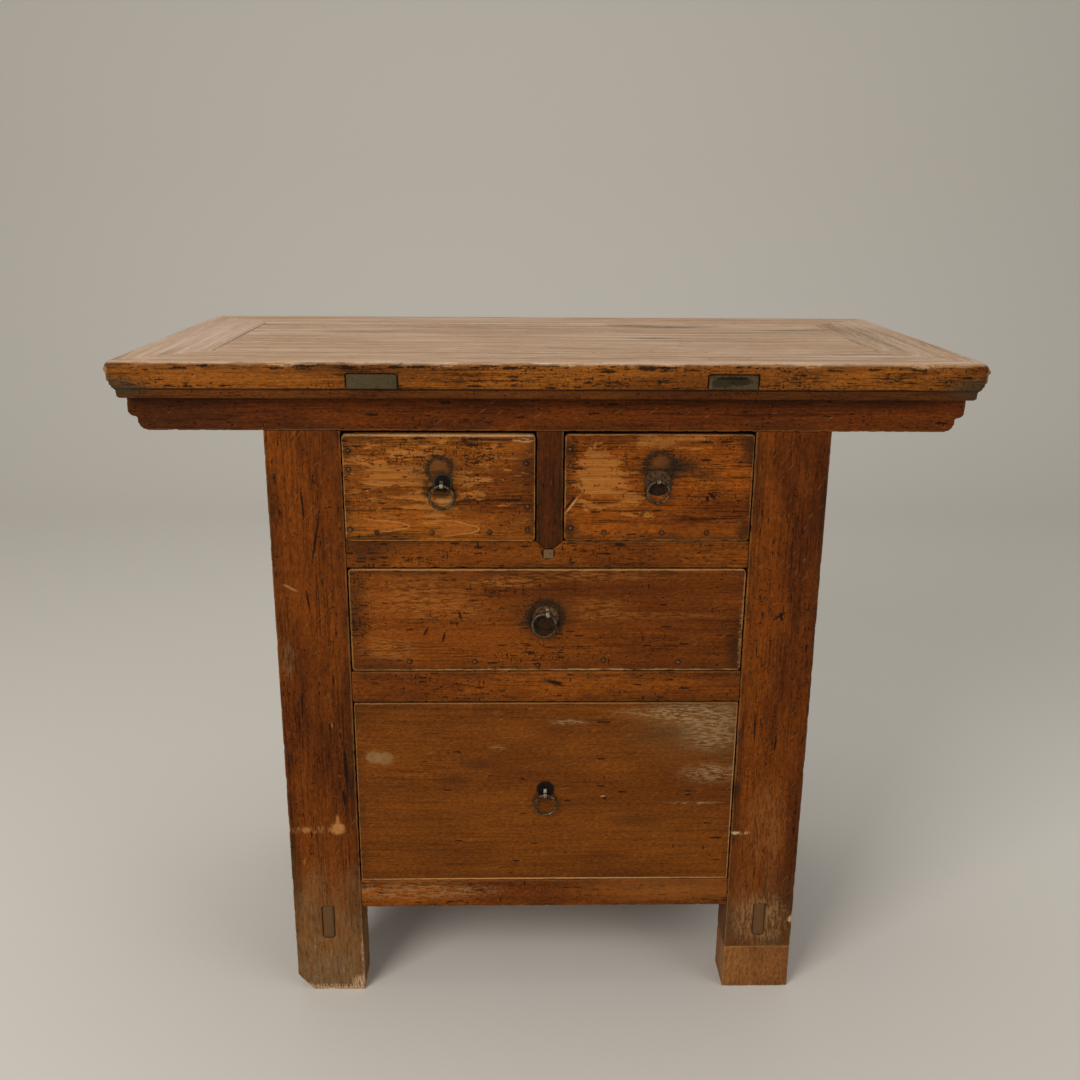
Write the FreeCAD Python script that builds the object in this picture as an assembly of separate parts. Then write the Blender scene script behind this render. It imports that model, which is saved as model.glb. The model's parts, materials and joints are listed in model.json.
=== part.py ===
import FreeCAD, Part
import math
import os

from FreeCAD import Vector

# Side cabinet: an overhanging framed top on four legs, with two small drawers side by side,
# a wide drawer and a deep drawer. The front faces -Y, +X is to the viewer's right, and Z = 0 is
# the floor. The origin is under the middle of the top. Sizes are millimetres.

# Top
top_width = 1008.0
top_depth = 504.0
top_thickness = 44.0
frame_member_width = 98.0
panel_thickness = 13.0
panel_tongue_thickness = 6.5
panel_groove_depth = 11.0
panel_tongue_length = 9.0
panel_joint_gap = 0.4
mitre_tongue_inset = 26.0
mitre_tongue_width = 40.0
mitre_tongue_reach = 30.0
mitre_tongue_thickness = 9.0

# Moulded edge of the top, as insets from the widest line and heights above the underside
edge_foot_inset = 9.5
bead_middle_inset = 7.7
bead_inset = 7.3
bead_height = 9.2
quirk_inset = 9.3
quirk_height = 1.2
band_inset = 6.0
band_middle_inset = 2.0
band_middle_height = 20.0
widest_height = 33.0
arris_middle_inset = 1.1
arris_middle_height = 40.6
arris_inset = 4.2

# Cross braces under the panel, with tenons through the front and back members
brace_width = 60.0
brace_height = 27.0
brace_tenon_height = 18.0
brace_left_x = -203.5
brace_right_x = 210.5
brace_tenon_recess = 1.6
broken_tenon_recess = 5.2

# Stand
case_width = 674.0
leg_width = 91.0
leg_depth = 55.0
leg_outer_rounding = 3.0
front_overhang = 31.5
back_overhang = 31.5
leg_tenon_width = 45.0
leg_tenon_depth = 18.0
leg_tenon_height = 22.0
foot_block_height = 65.0
foot_chip_width = 22.0
foot_chip_height = 25.0
foot_chip_depth = 44.0

# Levels of the front, from the floor upwards
floor_gap = 131.0
lower_rail_height = 40.5
deep_opening_height = 260.3
middle_rail_height = 41.3
wide_opening_height = 137.6
upper_rail_height = 34.5
small_opening_height = 136.0
apron_height = 41.0

# Aprons with a two-lobed outline at each end
apron_end_inset = 12.0
apron_thickness = 20.0
apron_proud = 1.0
upper_lobe_height = 25.0
upper_lobe_radius = 8.0
lobe_step = 11.0
lower_lobe_width = 10.0
lower_lobe_shoulder = 3.0

# Rails and the divider
front_rail_depth = 32.0
back_rail_depth = 24.0
rail_tenon_thickness = 12.0
rail_tenon_length = 30.0
rail_tenon_shoulder = 6.0
mortise_spare = 2.0
divider_x = 1.4
divider_width = 32.5
divider_nose_width = 11.0
divider_nose_height = 10.0
divider_nose_depth = 12.0
divider_tenon_width = 20.0
divider_tenon_thickness = 8.0
divider_head_length = 20.0

# Sides and back
side_rail_thickness = 34.0
lower_side_rail_height = 62.0
lower_side_rail_bottom = 76.0
side_tenon_thickness = 16.0
side_tenon_height = 50.0
side_tenon_recess = 0.4
upper_side_tenon_height = 28.0
upper_side_tenon_length = 20.0
side_panel_thickness = 12.0
back_panel_thickness = 10.0
groove_depth = 8.0
panel_float = 1.0

# Runners and guides
runner_width = 34.0
runner_thickness = 22.0
centre_runner_width = 90.0
runner_tenon_width = 20.0
runner_tenon_height = 10.0
runner_tenon_length = 10.0
peg_x = 0.6
peg_width = 12.0
peg_height = 11.0
peg_gap = 1.0
guide_width = 14.0
guide_rise = 26.0

# Drawers
front_thickness = 20.0
side_thickness = 12.0
back_thickness = 12.0
bottom_thickness = 10.0
bottom_groove_depth = 5.0
bottom_height = 5.2
bottom_play = 0.5
nailed_lip = 9.0
nailed_board_inset = 0.8
drawer_side_gap = 1.3
drawer_bottom_gap = 0.7
drawer_top_gap = 1.7
small_drawer_top_gap = 3.3
runner_clearance = 0.4
side_drop = 3.0
back_drop = 4.0
drawer_rear_space = 9.0
front_corner_rounding = 5.0
dovetail_lap = 7.0
dovetail_count = 5
dovetail_pin_width = 8.0
dovetail_flare = 3.0

# Fronts stand in front of the legs by these amounts, and behind them where the sign is minus
small_left_proud = 5.0
small_right_proud = 2.0
wide_proud = -1.0
deep_proud = -0.3

# Nail places as distances from the left and lower edge of a front. A minus sign measures from the
# right or the top edge.
small_left_nails = [
    (7.6, -20.0), (7.4, -42.5), (6.2, 15.0), (-10.5, -35.0), (-9.5, 44.0), (-9.0, 15.0),
    (38.0, 11.5), (104.5, 11.5), (-54.5, 11.5),
]
small_right_nails = [
    (6.5, -18.5), (7.2, -38.5), (7.8, 16.5), (48.5, 10.5), (-106.8, 10.5), (-52.3, 10.8),
]
wide_nails = [(72.5, 13.0), (154.0, 12.5), (233.0, 7.5), (-173.4, 14.5), (-79.4, 12.0)]

# Ring pulls. Each staple hole is placed from the middle of its front, and each plate from the hole.
small_left_pull = {
    "hole_x": 2.7, "hole_z": 9.0, "plate_radius": 12.0, "plate_x": 1.4, "plate_z": -1.2,
    "ring_radius": 14.0, "wire_radius": 1.6, "eye_drop": 4.2, "lean": 0.0,
}
small_right_pull = {
    "hole_x": -0.9, "hole_z": 12.0, "plate_radius": 18.5, "plate_x": -0.2, "plate_z": -4.4,
    "ring_radius": 13.2, "wire_radius": 1.5, "eye_drop": 2.2, "lean": 0.0,
}
wide_pull = {
    "hole_x": 0.1, "hole_z": 15.9, "plate_radius": 19.0, "plate_x": -2.4, "plate_z": -11.5,
    "ring_radius": 14.8, "wire_radius": 1.7, "eye_drop": 5.8, "lean": 16.5,
}
deep_pull = {
    "hole_x": -0.8, "hole_z": 6.4, "plate_radius": 11.5, "plate_x": 0.0, "plate_z": 0.0,
    "ring_radius": 14.0, "wire_radius": 1.6, "eye_drop": 6.0, "lean": 0.0,
}
plate_thickness = 1.4
plate_edge_bevel = 0.8
plate_hole_radius = 3.4
staple_width = 4.5
staple_thickness = 1.0
staple_reach = 5.0
staple_hole_clearance = 0.3
clinch_length = 9.0
eye_clearance = 0.35
ring_sides = 8
ring_segments = 28

# Nails
nail_head_radius = 2.7
nail_crown_radius = 1.5
nail_head_height = 1.1
nail_head_sides = 8
nail_shank_width = 2.2
nail_tip_width = 0.8
nail_shank_length = 22.0

# Places worked out from the sizes above
half_top_width = top_width / 2
half_top_depth = top_depth / 2
case_half = case_width / 2
opening_half = case_half - leg_width
leg_centre_x = case_half - leg_width / 2
front_y = -half_top_depth + front_overhang
back_y = half_top_depth - back_overhang
front_leg_back_y = front_y + leg_depth
back_leg_front_y = back_y - leg_depth
lower_rail_bottom = floor_gap
deep_opening_bottom = lower_rail_bottom + lower_rail_height
middle_rail_bottom = deep_opening_bottom + deep_opening_height
wide_opening_bottom = middle_rail_bottom + middle_rail_height
upper_rail_bottom = wide_opening_bottom + wide_opening_height
small_opening_bottom = upper_rail_bottom + upper_rail_height
apron_bottom = small_opening_bottom + small_opening_height
top_bottom = apron_bottom + apron_height
top_surface = top_bottom + top_thickness
panel_half_x = half_top_width - frame_member_width
panel_half_y = half_top_depth - frame_member_width
panel_bottom = top_surface - panel_thickness
rail_back_y = front_y + front_rail_depth
back_panel_outer_y = back_y - apron_thickness + apron_proud + back_panel_thickness / 2
back_panel_inner_y = back_panel_outer_y - back_panel_thickness
back_rail_front_y = back_panel_inner_y - back_rail_depth
divider_left = divider_x - divider_width / 2
divider_right = divider_x + divider_width / 2

X = Vector(1, 0, 0)
Y = Vector(0, 1, 0)
Z = Vector(0, 0, 1)
ORIGIN = Vector(0, 0, 0)


def block(x0, x1, y0, y1, z0, z1):
    return Part.makeBox(x1 - x0, y1 - y0, z1 - z0, Vector(x0, y0, z0))


def joined(first, *others):
    for other in others:
        first = first.fuse(other)
    return first.removeSplitter().Solids[0]


def cut_away(solid, *tools):
    for tool in tools:
        solid = solid.cut(tool)
    return solid.removeSplitter().Solids[0]


def flat_face(points):
    return Part.Face(Part.makePolygon(points + points[:1]))


def faceted(outlines):
    """A solid bounded by flat faces, each given by its corners."""
    return Part.makeSolid(Part.makeShell([flat_face(points) for points in outlines]))


def frustum(low, high):
    """A solid between two outlines of as many corners each."""
    sides = []
    for index, corner in enumerate(low):
        following = (index + 1) % len(low)
        sides.append([corner, low[following], high[following], high[index]])
    return faceted([low, high] + sides)


def flip_x(solid):
    return solid.mirror(ORIGIN, X)


def flip_y(solid):
    return solid.mirror(ORIGIN, Y)


def save(node, solids):
    shape = solids[0] if len(solids) == 1 else Part.makeCompound(solids)
    shape.exportStep("parts/" + node + ".step")
    print(node, len(solids), "solid(s)", round(sum(solid.Volume for solid in solids) / 1000, 1), "cm3")


# Framed top

def moulded_section():
    def at(inset, height):
        return Vector(0, inset, height)

    foot = at(edge_foot_inset, 0)
    bead_top = at(bead_inset, bead_height)
    quirk = at(quirk_inset, bead_height + quirk_height)
    band_foot = at(band_inset, bead_height + 2 * quirk_height)
    widest = at(0, widest_height)
    arris = at(arris_inset, top_thickness)
    inner_top = at(frame_member_width, top_thickness)
    inner_bottom = at(frame_member_width, 0)
    edges = [
        Part.Arc(foot, at(bead_middle_inset, bead_height / 2), bead_top).toShape(),
        Part.makeLine(bead_top, quirk),
        Part.makeLine(quirk, band_foot),
        Part.Arc(band_foot, at(band_middle_inset, band_middle_height), widest).toShape(),
        Part.Arc(widest, at(arris_middle_inset, arris_middle_height), arris).toShape(),
        Part.makeLine(arris, inner_top),
        Part.makeLine(inner_top, inner_bottom),
        Part.makeLine(inner_bottom, foot),
    ]
    return Part.Face(Part.Wire(edges))


def mitred_member(length, distance, turn):
    """A frame member whose moulded edge faces -Y, turned about Z to its own side of the top."""
    section = moulded_section().translated(Vector(-length / 2, -distance, top_bottom))
    bar = section.extrude(X * length)
    inner_half = length / 2 - frame_member_width
    corners = [
        Vector(-length / 2, -distance, top_bottom),
        Vector(length / 2, -distance, top_bottom),
        Vector(inner_half, frame_member_width - distance, top_bottom),
        Vector(-inner_half, frame_member_width - distance, top_bottom),
    ]
    keep = flat_face(corners).extrude(Z * top_thickness)
    member = bar.common(keep).Solids[0]
    member.rotate(ORIGIN, Z, turn)
    return member


def mitre_tongues():
    """Hidden tongues of the end members, one at each corner, that enter the long members."""
    x1 = -half_top_width + mitre_tongue_inset + mitre_tongue_width
    middle = top_bottom + top_thickness / 2
    low_left = block(
        x1 - mitre_tongue_width, x1,
        -half_top_depth + mitre_tongue_inset, -half_top_depth + mitre_tongue_inset + mitre_tongue_reach,
        middle - mitre_tongue_thickness, middle,
    )
    back_left = flip_y(low_left)
    return [low_left, back_left, flip_x(low_left), flip_x(back_left)]


def brace(centre_x, front_recess):
    x0 = centre_x - brace_width / 2
    x1 = centre_x + brace_width / 2
    body = block(x0, x1, -panel_half_y, panel_half_y, panel_bottom - brace_height, panel_bottom)
    tenon = block(
        x0, x1,
        -half_top_depth + front_recess, half_top_depth - brace_tenon_recess,
        panel_bottom - brace_tenon_height, panel_bottom,
    )
    return joined(body, tenon)


def brace_mortise(centre_x):
    return block(
        centre_x - brace_width / 2, centre_x + brace_width / 2,
        -half_top_depth, half_top_depth,
        panel_bottom - brace_tenon_height, panel_bottom,
    )


def leg_tenon_seat():
    """The tenon on top of the left front leg, in the place where the front member receives it."""
    y0 = front_y - apron_proud + apron_thickness
    middle_y = (y0 + front_leg_back_y) / 2
    return block(
        -leg_centre_x - leg_tenon_width / 2, -leg_centre_x + leg_tenon_width / 2,
        middle_y - leg_tenon_depth / 2, middle_y + leg_tenon_depth / 2,
        top_bottom, top_bottom + leg_tenon_height,
    )


def back_leg_tenon_seat():
    seat = flip_y(leg_tenon_seat())
    seat.translate(Y * (front_overhang - back_overhang))
    return seat


def make_top():
    groove = block(
        -panel_half_x - panel_groove_depth, panel_half_x + panel_groove_depth,
        -panel_half_y - panel_groove_depth, panel_half_y + panel_groove_depth,
        panel_bottom, panel_bottom + panel_tongue_thickness,
    )
    mortises = [brace_mortise(brace_left_x), brace_mortise(brace_right_x)]
    tongues = mitre_tongues()
    front_seats = [leg_tenon_seat(), flip_x(leg_tenon_seat())]
    back_seats = [back_leg_tenon_seat(), flip_x(back_leg_tenon_seat())]
    front = mitred_member(top_width, half_top_depth, 0)
    back = mitred_member(top_width, half_top_depth, 180)
    left = mitred_member(top_depth, half_top_width, -90)
    right = mitred_member(top_depth, half_top_width, 90)
    save("top_front_member", [cut_away(front, groove, *mortises, *tongues, *front_seats)])
    save("top_back_member", [cut_away(back, groove, *mortises, *tongues, *back_seats)])
    save("top_left_member", [joined(cut_away(left, groove), *tongues[:2])])
    save("top_right_member", [joined(cut_away(right, groove), *tongues[2:])])
    field = block(
        -panel_half_x + panel_joint_gap, panel_half_x - panel_joint_gap,
        -panel_half_y + panel_joint_gap, panel_half_y - panel_joint_gap,
        panel_bottom, top_surface,
    )
    tongue = block(
        -panel_half_x - panel_tongue_length, panel_half_x + panel_tongue_length,
        -panel_half_y - panel_tongue_length, panel_half_y + panel_tongue_length,
        panel_bottom, panel_bottom + panel_tongue_thickness,
    )
    save("top_panel", [joined(field, tongue)])
    save("top_brace_left", [brace(brace_left_x, brace_tenon_recess)])
    save("top_brace_right", [brace(brace_right_x, broken_tenon_recess)])


# Rails, drawn at the left end and crossing to the right end

def rail_tenon_y(y0, y1):
    middle = (y0 + y1) / 2
    return middle - rail_tenon_thickness / 2, middle + rail_tenon_thickness / 2


def rail(y0, y1, z0, z1):
    tenon_y0, tenon_y1 = rail_tenon_y(y0, y1)
    reach = opening_half + rail_tenon_length
    tenon = block(
        -reach, reach, tenon_y0, tenon_y1, z0 + rail_tenon_shoulder, z1 - rail_tenon_shoulder
    )
    return joined(block(-opening_half, opening_half, y0, y1, z0, z1), tenon)


def rail_mortise(y0, y1, z0, z1):
    tenon_y0, tenon_y1 = rail_tenon_y(y0, y1)
    reach = opening_half + rail_tenon_length + mortise_spare
    return block(
        -reach, -opening_half, tenon_y0, tenon_y1, z0 + rail_tenon_shoulder, z1 - rail_tenon_shoulder
    )


rail_levels = [
    (lower_rail_bottom, deep_opening_bottom),
    (middle_rail_bottom, wide_opening_bottom),
    (upper_rail_bottom, small_opening_bottom),
]


# Divider between the small drawers: mitred nose in the rail, tenons up and down

def divider_nose(depth):
    points = [
        Vector(divider_left, front_y, small_opening_bottom),
        Vector(divider_right, front_y, small_opening_bottom),
        Vector(divider_x + divider_nose_width / 2, front_y, small_opening_bottom - divider_nose_height),
        Vector(divider_x - divider_nose_width / 2, front_y, small_opening_bottom - divider_nose_height),
    ]
    return flat_face(points).extrude(Y * depth)


def divider_tenon(z0, z1, y0):
    return block(
        divider_x - divider_tenon_width / 2, divider_x + divider_tenon_width / 2,
        y0, y0 + divider_tenon_thickness, z0, z1,
    )


def divider_foot():
    y0 = front_y + divider_nose_depth + divider_tenon_thickness / 2
    return divider_tenon(small_opening_bottom - divider_nose_height, small_opening_bottom, y0)


def divider_head():
    y0 = front_y - apron_proud + (apron_thickness - divider_tenon_thickness) / 2
    return divider_tenon(apron_bottom, apron_bottom + divider_head_length, y0)


# Runners carry the drawers from the front rails to the back rails

def runner_tenon(centre_x, width, level, y0, y1):
    middle = level - runner_thickness / 2
    return block(
        centre_x - width / 2, centre_x + width / 2, y0, y1,
        middle - runner_tenon_height / 2, middle + runner_tenon_height / 2,
    )


def runner_seats(level, y0, y1):
    centre_x = opening_half - runner_width / 2
    return [runner_tenon(side * centre_x, runner_tenon_width, level, y0, y1) for side in (-1, 1)]


def side_runner(level):
    body = block(
        -opening_half, -opening_half + runner_width, rail_back_y, back_rail_front_y,
        level - runner_thickness, level,
    )
    ends_y = rail_back_y - runner_tenon_length, back_rail_front_y + runner_tenon_length
    return joined(body, runner_seats(level, *ends_y)[0])


def side_guide(level):
    return block(
        -opening_half - guide_width, -opening_half, front_leg_back_y, back_leg_front_y,
        level - runner_thickness, level + guide_rise,
    )


def peg_block(y0, y1):
    peg_top = small_opening_bottom - divider_nose_height - peg_gap
    return block(peg_x - peg_width / 2, peg_x + peg_width / 2, y0, y1, peg_top - peg_height, peg_top)


def make_runners():
    for node, level in (
        ("runners_small", small_opening_bottom),
        ("runners_wide", wide_opening_bottom),
        ("runners_deep", deep_opening_bottom),
    ):
        runner = side_runner(level)
        guide = side_guide(level)
        save(node, [runner, guide, flip_x(runner), flip_x(guide)])
    board = block(
        divider_x - centre_runner_width / 2, divider_x + centre_runner_width / 2,
        rail_back_y, back_rail_front_y,
        small_opening_bottom - divider_nose_height - peg_gap - peg_height, small_opening_bottom,
    )
    back_tenon = runner_tenon(
        divider_x, runner_tenon_width, small_opening_bottom,
        back_rail_front_y, back_rail_front_y + runner_tenon_length,
    )
    save("runner_centre", [joined(board, back_tenon, peg_block(front_y, rail_back_y))])
    save("guide_centre", [block(
        divider_left, divider_right, rail_back_y, back_rail_front_y,
        small_opening_bottom, small_opening_bottom + guide_rise,
    )])


def make_front_rails():
    pockets_y = rail_back_y - runner_tenon_length, rail_back_y
    for node, (z0, z1) in zip(("rail_lower", "rail_middle", "rail_upper"), rail_levels):
        piece = cut_away(rail(front_y, rail_back_y, z0, z1), *runner_seats(z1, *pockets_y))
        if node == "rail_upper":
            piece = cut_away(piece, divider_nose(divider_nose_depth), divider_foot())
            piece = cut_away(piece, peg_block(front_y, rail_back_y))
        save(node, [piece])
    post = block(divider_left, divider_right, front_y, rail_back_y, small_opening_bottom, apron_bottom)
    save("drawer_divider", [joined(post, divider_nose(divider_nose_depth), divider_foot(), divider_head())])


def make_back_rails():
    pockets_y = back_rail_front_y, back_rail_front_y + runner_tenon_length
    rails = []
    for z0, z1 in rail_levels:
        tools = runner_seats(z1, *pockets_y)
        if z1 == small_opening_bottom:
            tools.append(runner_tenon(divider_x, runner_tenon_width, z1, *pockets_y))
        rails.append(cut_away(rail(back_rail_front_y, back_panel_inner_y, z0, z1), *tools))
    save("back_rails", rails)


# Sides

def lower_side_tenon(y0, y1):
    middle = lower_side_rail_bottom + lower_side_rail_height / 2
    return block(
        -leg_centre_x - side_tenon_thickness / 2, -leg_centre_x + side_tenon_thickness / 2, y0, y1,
        middle - side_tenon_height / 2, middle + side_tenon_height / 2,
    )


def upper_side_tenon():
    middle = apron_bottom + apron_height / 2
    return block(
        -leg_centre_x - side_tenon_thickness / 2, -leg_centre_x + side_tenon_thickness / 2,
        front_leg_back_y - upper_side_tenon_length, back_leg_front_y + upper_side_tenon_length,
        middle - upper_side_tenon_height / 2, middle + upper_side_tenon_height / 2,
    )


def side_panel_block(shrink):
    reach = groove_depth - shrink
    return block(
        -leg_centre_x - side_panel_thickness / 2, -leg_centre_x + side_panel_thickness / 2,
        front_leg_back_y - reach, back_leg_front_y + reach,
        lower_side_rail_bottom + lower_side_rail_height - reach, apron_bottom + reach,
    )


def side_rail_bar(z0, z1):
    return block(
        -leg_centre_x - side_rail_thickness / 2, -leg_centre_x + side_rail_thickness / 2,
        front_leg_back_y, back_leg_front_y, z0, z1,
    )


def make_sides():
    groove = side_panel_block(0)
    lower = joined(
        side_rail_bar(lower_side_rail_bottom, lower_side_rail_bottom + lower_side_rail_height),
        lower_side_tenon(front_y + side_tenon_recess, back_y - side_tenon_recess),
    )
    lower = cut_away(lower, groove)
    upper = cut_away(joined(side_rail_bar(apron_bottom, top_bottom), upper_side_tenon()), groove)
    panel = side_panel_block(panel_float)
    save("side_rails_lower", [lower, flip_x(lower)])
    save("side_rails_upper", [upper, flip_x(upper)])
    save("side_panel_left", [panel])
    save("side_panel_right", [flip_x(panel)])


def back_panel_block(shrink):
    reach = opening_half + groove_depth - shrink
    return block(-reach, reach, back_panel_inner_y, back_panel_outer_y, lower_rail_bottom, apron_bottom)


# Legs

def leg_blank(y0, y1):
    bar = block(-case_half, -opening_half, y0, y1, 0, top_bottom)
    upright = [edge for edge in bar.Edges if edge.BoundBox.ZLength > top_bottom / 2]
    outer = [edge for edge in upright if edge.BoundBox.XMax < -leg_centre_x]
    return bar.makeFillet(leg_outer_rounding, outer)


def apron_notch(y0, y1):
    return block(-case_half, -opening_half, y0, y1, apron_bottom, top_bottom)


def foot_chip():
    corner = Vector(-case_half, front_y, 0)
    along = corner + X * foot_chip_width
    up = corner + Z * foot_chip_height
    back = corner + Y * foot_chip_depth
    return faceted([[corner, along, up], [corner, up, back], [corner, back, along], [along, back, up]])


def make_legs():
    side_cuts = [lower_side_tenon(front_y, back_y), upper_side_tenon(), side_panel_block(0)]
    front_cuts = side_cuts + [rail_mortise(front_y, rail_back_y, z0, z1) for z0, z1 in rail_levels]
    front_cuts.append(apron_notch(front_y, front_y - apron_proud + apron_thickness))
    front = joined(cut_away(leg_blank(front_y, front_leg_back_y), *front_cuts), leg_tenon_seat())
    back_cuts = side_cuts + [
        rail_mortise(back_rail_front_y, back_panel_inner_y, z0, z1) for z0, z1 in rail_levels
    ]
    back_cuts.append(apron_notch(back_y + apron_proud - apron_thickness, back_y))
    back_cuts.append(back_panel_block(0))
    back = joined(cut_away(leg_blank(back_leg_front_y, back_y), *back_cuts), back_leg_tenon_seat())
    right = flip_x(front)
    above = block(opening_half, case_half, front_y, front_leg_back_y, foot_block_height, top_surface)
    below = block(opening_half, case_half, front_y, front_leg_back_y, 0, foot_block_height)
    save("leg_front_left", [cut_away(front, foot_chip())])
    save("leg_front_right", [right.common(above).Solids[0]])
    save("foot_block", [right.common(below).Solids[0]])
    save("leg_back_left", [back])
    save("leg_back_right", [flip_x(back)])


# Aprons

def apron_board(y0):
    half = half_top_width - apron_end_inset
    step_x = half - lobe_step
    lobe_bottom = top_bottom - upper_lobe_height
    low_x = step_x - lower_lobe_width
    shoulder = lobe_bottom - lower_lobe_shoulder
    diagonal = math.sqrt(0.5)
    round_x = half - upper_lobe_radius * (1 - diagonal)
    round_z = lobe_bottom + upper_lobe_radius * (1 - diagonal)
    sweep_x = low_x + lower_lobe_width * diagonal
    sweep_z = apron_bottom + (shoulder - apron_bottom) * (1 - diagonal)

    def right_end(flip):
        def at(x, z):
            return Vector(flip * x, y0, z)

        return [
            Part.makeLine(at(half, top_bottom), at(half, lobe_bottom + upper_lobe_radius)),
            Part.Arc(
                at(half, lobe_bottom + upper_lobe_radius), at(round_x, round_z),
                at(half - upper_lobe_radius, lobe_bottom),
            ).toShape(),
            Part.makeLine(at(half - upper_lobe_radius, lobe_bottom), at(step_x, lobe_bottom)),
            Part.makeLine(at(step_x, lobe_bottom), at(step_x, shoulder)),
            Part.Arc(at(step_x, shoulder), at(sweep_x, sweep_z), at(low_x, apron_bottom)).toShape(),
        ]

    edges = right_end(1) + right_end(-1)
    edges.append(Part.makeLine(Vector(-half, y0, top_bottom), Vector(half, y0, top_bottom)))
    edges.append(Part.makeLine(Vector(-low_x, y0, apron_bottom), Vector(low_x, y0, apron_bottom)))
    outline = Part.Wire(Part.__sortEdges__(edges))
    return Part.Face(outline).extrude(Y * apron_thickness)


def make_aprons():
    save("apron_front", [cut_away(apron_board(front_y - apron_proud), divider_head())])
    save("apron_back", [apron_board(back_y + apron_proud - apron_thickness)])
    save("back_panel", [back_panel_block(panel_float)])


# Ring pulls

def pull_plate(hole_x, hole_z, face_y, pull):
    radius = pull["plate_radius"]
    centre = Vector(hole_x + pull["plate_x"], face_y, hole_z + pull["plate_z"])
    edge_height = plate_thickness - plate_edge_bevel
    disc = Part.makeCylinder(radius, edge_height, centre, -Y)
    bevel = Part.makeCone(radius, radius - plate_edge_bevel, plate_edge_bevel, centre - Y * edge_height, -Y)
    hole = Part.makeCylinder(plate_hole_radius, plate_thickness, Vector(hole_x, face_y, hole_z), -Y)
    return cut_away(joined(disc, bevel), hole)


def pull_staple(hole_x, hole_z, face_y, pull):
    """A folded iron strip: an eye in front of the plate, and a tail clinched behind the front."""
    plate_y = face_y - plate_thickness
    tilt = math.radians(pull["lean"])
    sag = (staple_width / 2) ** 2 / (2 * pull["ring_radius"])
    lean_room = staple_width / 2 * math.tan(tilt)
    eye_inner = pull["wire_radius"] / math.cos(tilt) + lean_room + sag + eye_clearance
    back = face_y + front_thickness
    left = hole_x - staple_width / 2

    def strip(start, end):
        along = (end - start).normalize()
        across = Vector(0, -along.z, along.y) * staple_thickness
        points = [start + across, end + across, end - across, start - across]
        return flat_face(points).extrude(X * staple_width)

    def disc_at(centre, radius):
        return Part.makeCylinder(radius, staple_width, centre, X)

    eye = Vector(left, plate_y - staple_reach, hole_z - pull["eye_drop"])
    bend = Vector(left, plate_y, hole_z)
    tail = Vector(left, back + staple_thickness, hole_z)
    clinch = block(
        left, left + staple_width, back, back + staple_thickness,
        hole_z - clinch_length, hole_z + clinch_length,
    )
    staple = joined(
        disc_at(eye, eye_inner + staple_thickness), strip(eye, bend),
        disc_at(bend, staple_thickness), strip(bend, tail), clinch,
    )
    return cut_away(staple, disc_at(eye, eye_inner))


def pull_ring(hole_x, hole_z, face_y, pull):
    """The ring hangs in the staple's eye, straight down or leaning to the left."""
    tilt = math.radians(pull["lean"])
    radius = pull["ring_radius"]
    ring = forged_ring(radius, pull["wire_radius"])
    ring.translate(Vector(
        hole_x - radius * math.sin(tilt),
        face_y - plate_thickness - staple_reach,
        hole_z - pull["eye_drop"] - radius * math.cos(tilt),
    ))
    return ring


def staple_hole(hole_x, hole_z, face_y):
    radius = math.hypot(staple_width / 2, staple_thickness) + staple_hole_clearance
    return Part.makeCylinder(radius, front_thickness, Vector(hole_x, face_y, hole_z), Y)


def forged_ring(ring_radius, wire_radius):
    """A ring of eight-sided bar in the XZ plane, hammered round in short straight lengths."""
    def corner(turn, side):
        around = 2 * math.pi * turn / ring_segments
        across = 2 * math.pi * side / ring_sides
        reach = ring_radius + wire_radius * math.cos(across)
        return Vector(reach * math.sin(around), wire_radius * math.sin(across), reach * math.cos(around))

    flats = []
    for turn in range(ring_segments):
        for side in range(ring_sides):
            flats.append([
                corner(turn, side), corner(turn + 1, side),
                corner(turn + 1, side + 1), corner(turn, side + 1),
            ])
    return faceted(flats)


# Nails

def nail(x, face_y, z):
    def outline(radius, sides, y):
        points = []
        for index in range(sides):
            angle = 2 * math.pi * (index + 0.5) / sides
            points.append(Vector(x + radius * math.cos(angle), y, z + radius * math.sin(angle)))
        return points

    half_diagonal = math.sqrt(0.5)
    head = frustum(
        outline(nail_crown_radius, nail_head_sides, face_y - nail_head_height),
        outline(nail_head_radius, nail_head_sides, face_y),
    )
    shank = frustum(
        outline(nail_shank_width * half_diagonal, 4, face_y),
        outline(nail_tip_width * half_diagonal, 4, face_y + nail_shank_length),
    )
    return joined(head, shank)


# Drawers

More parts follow.
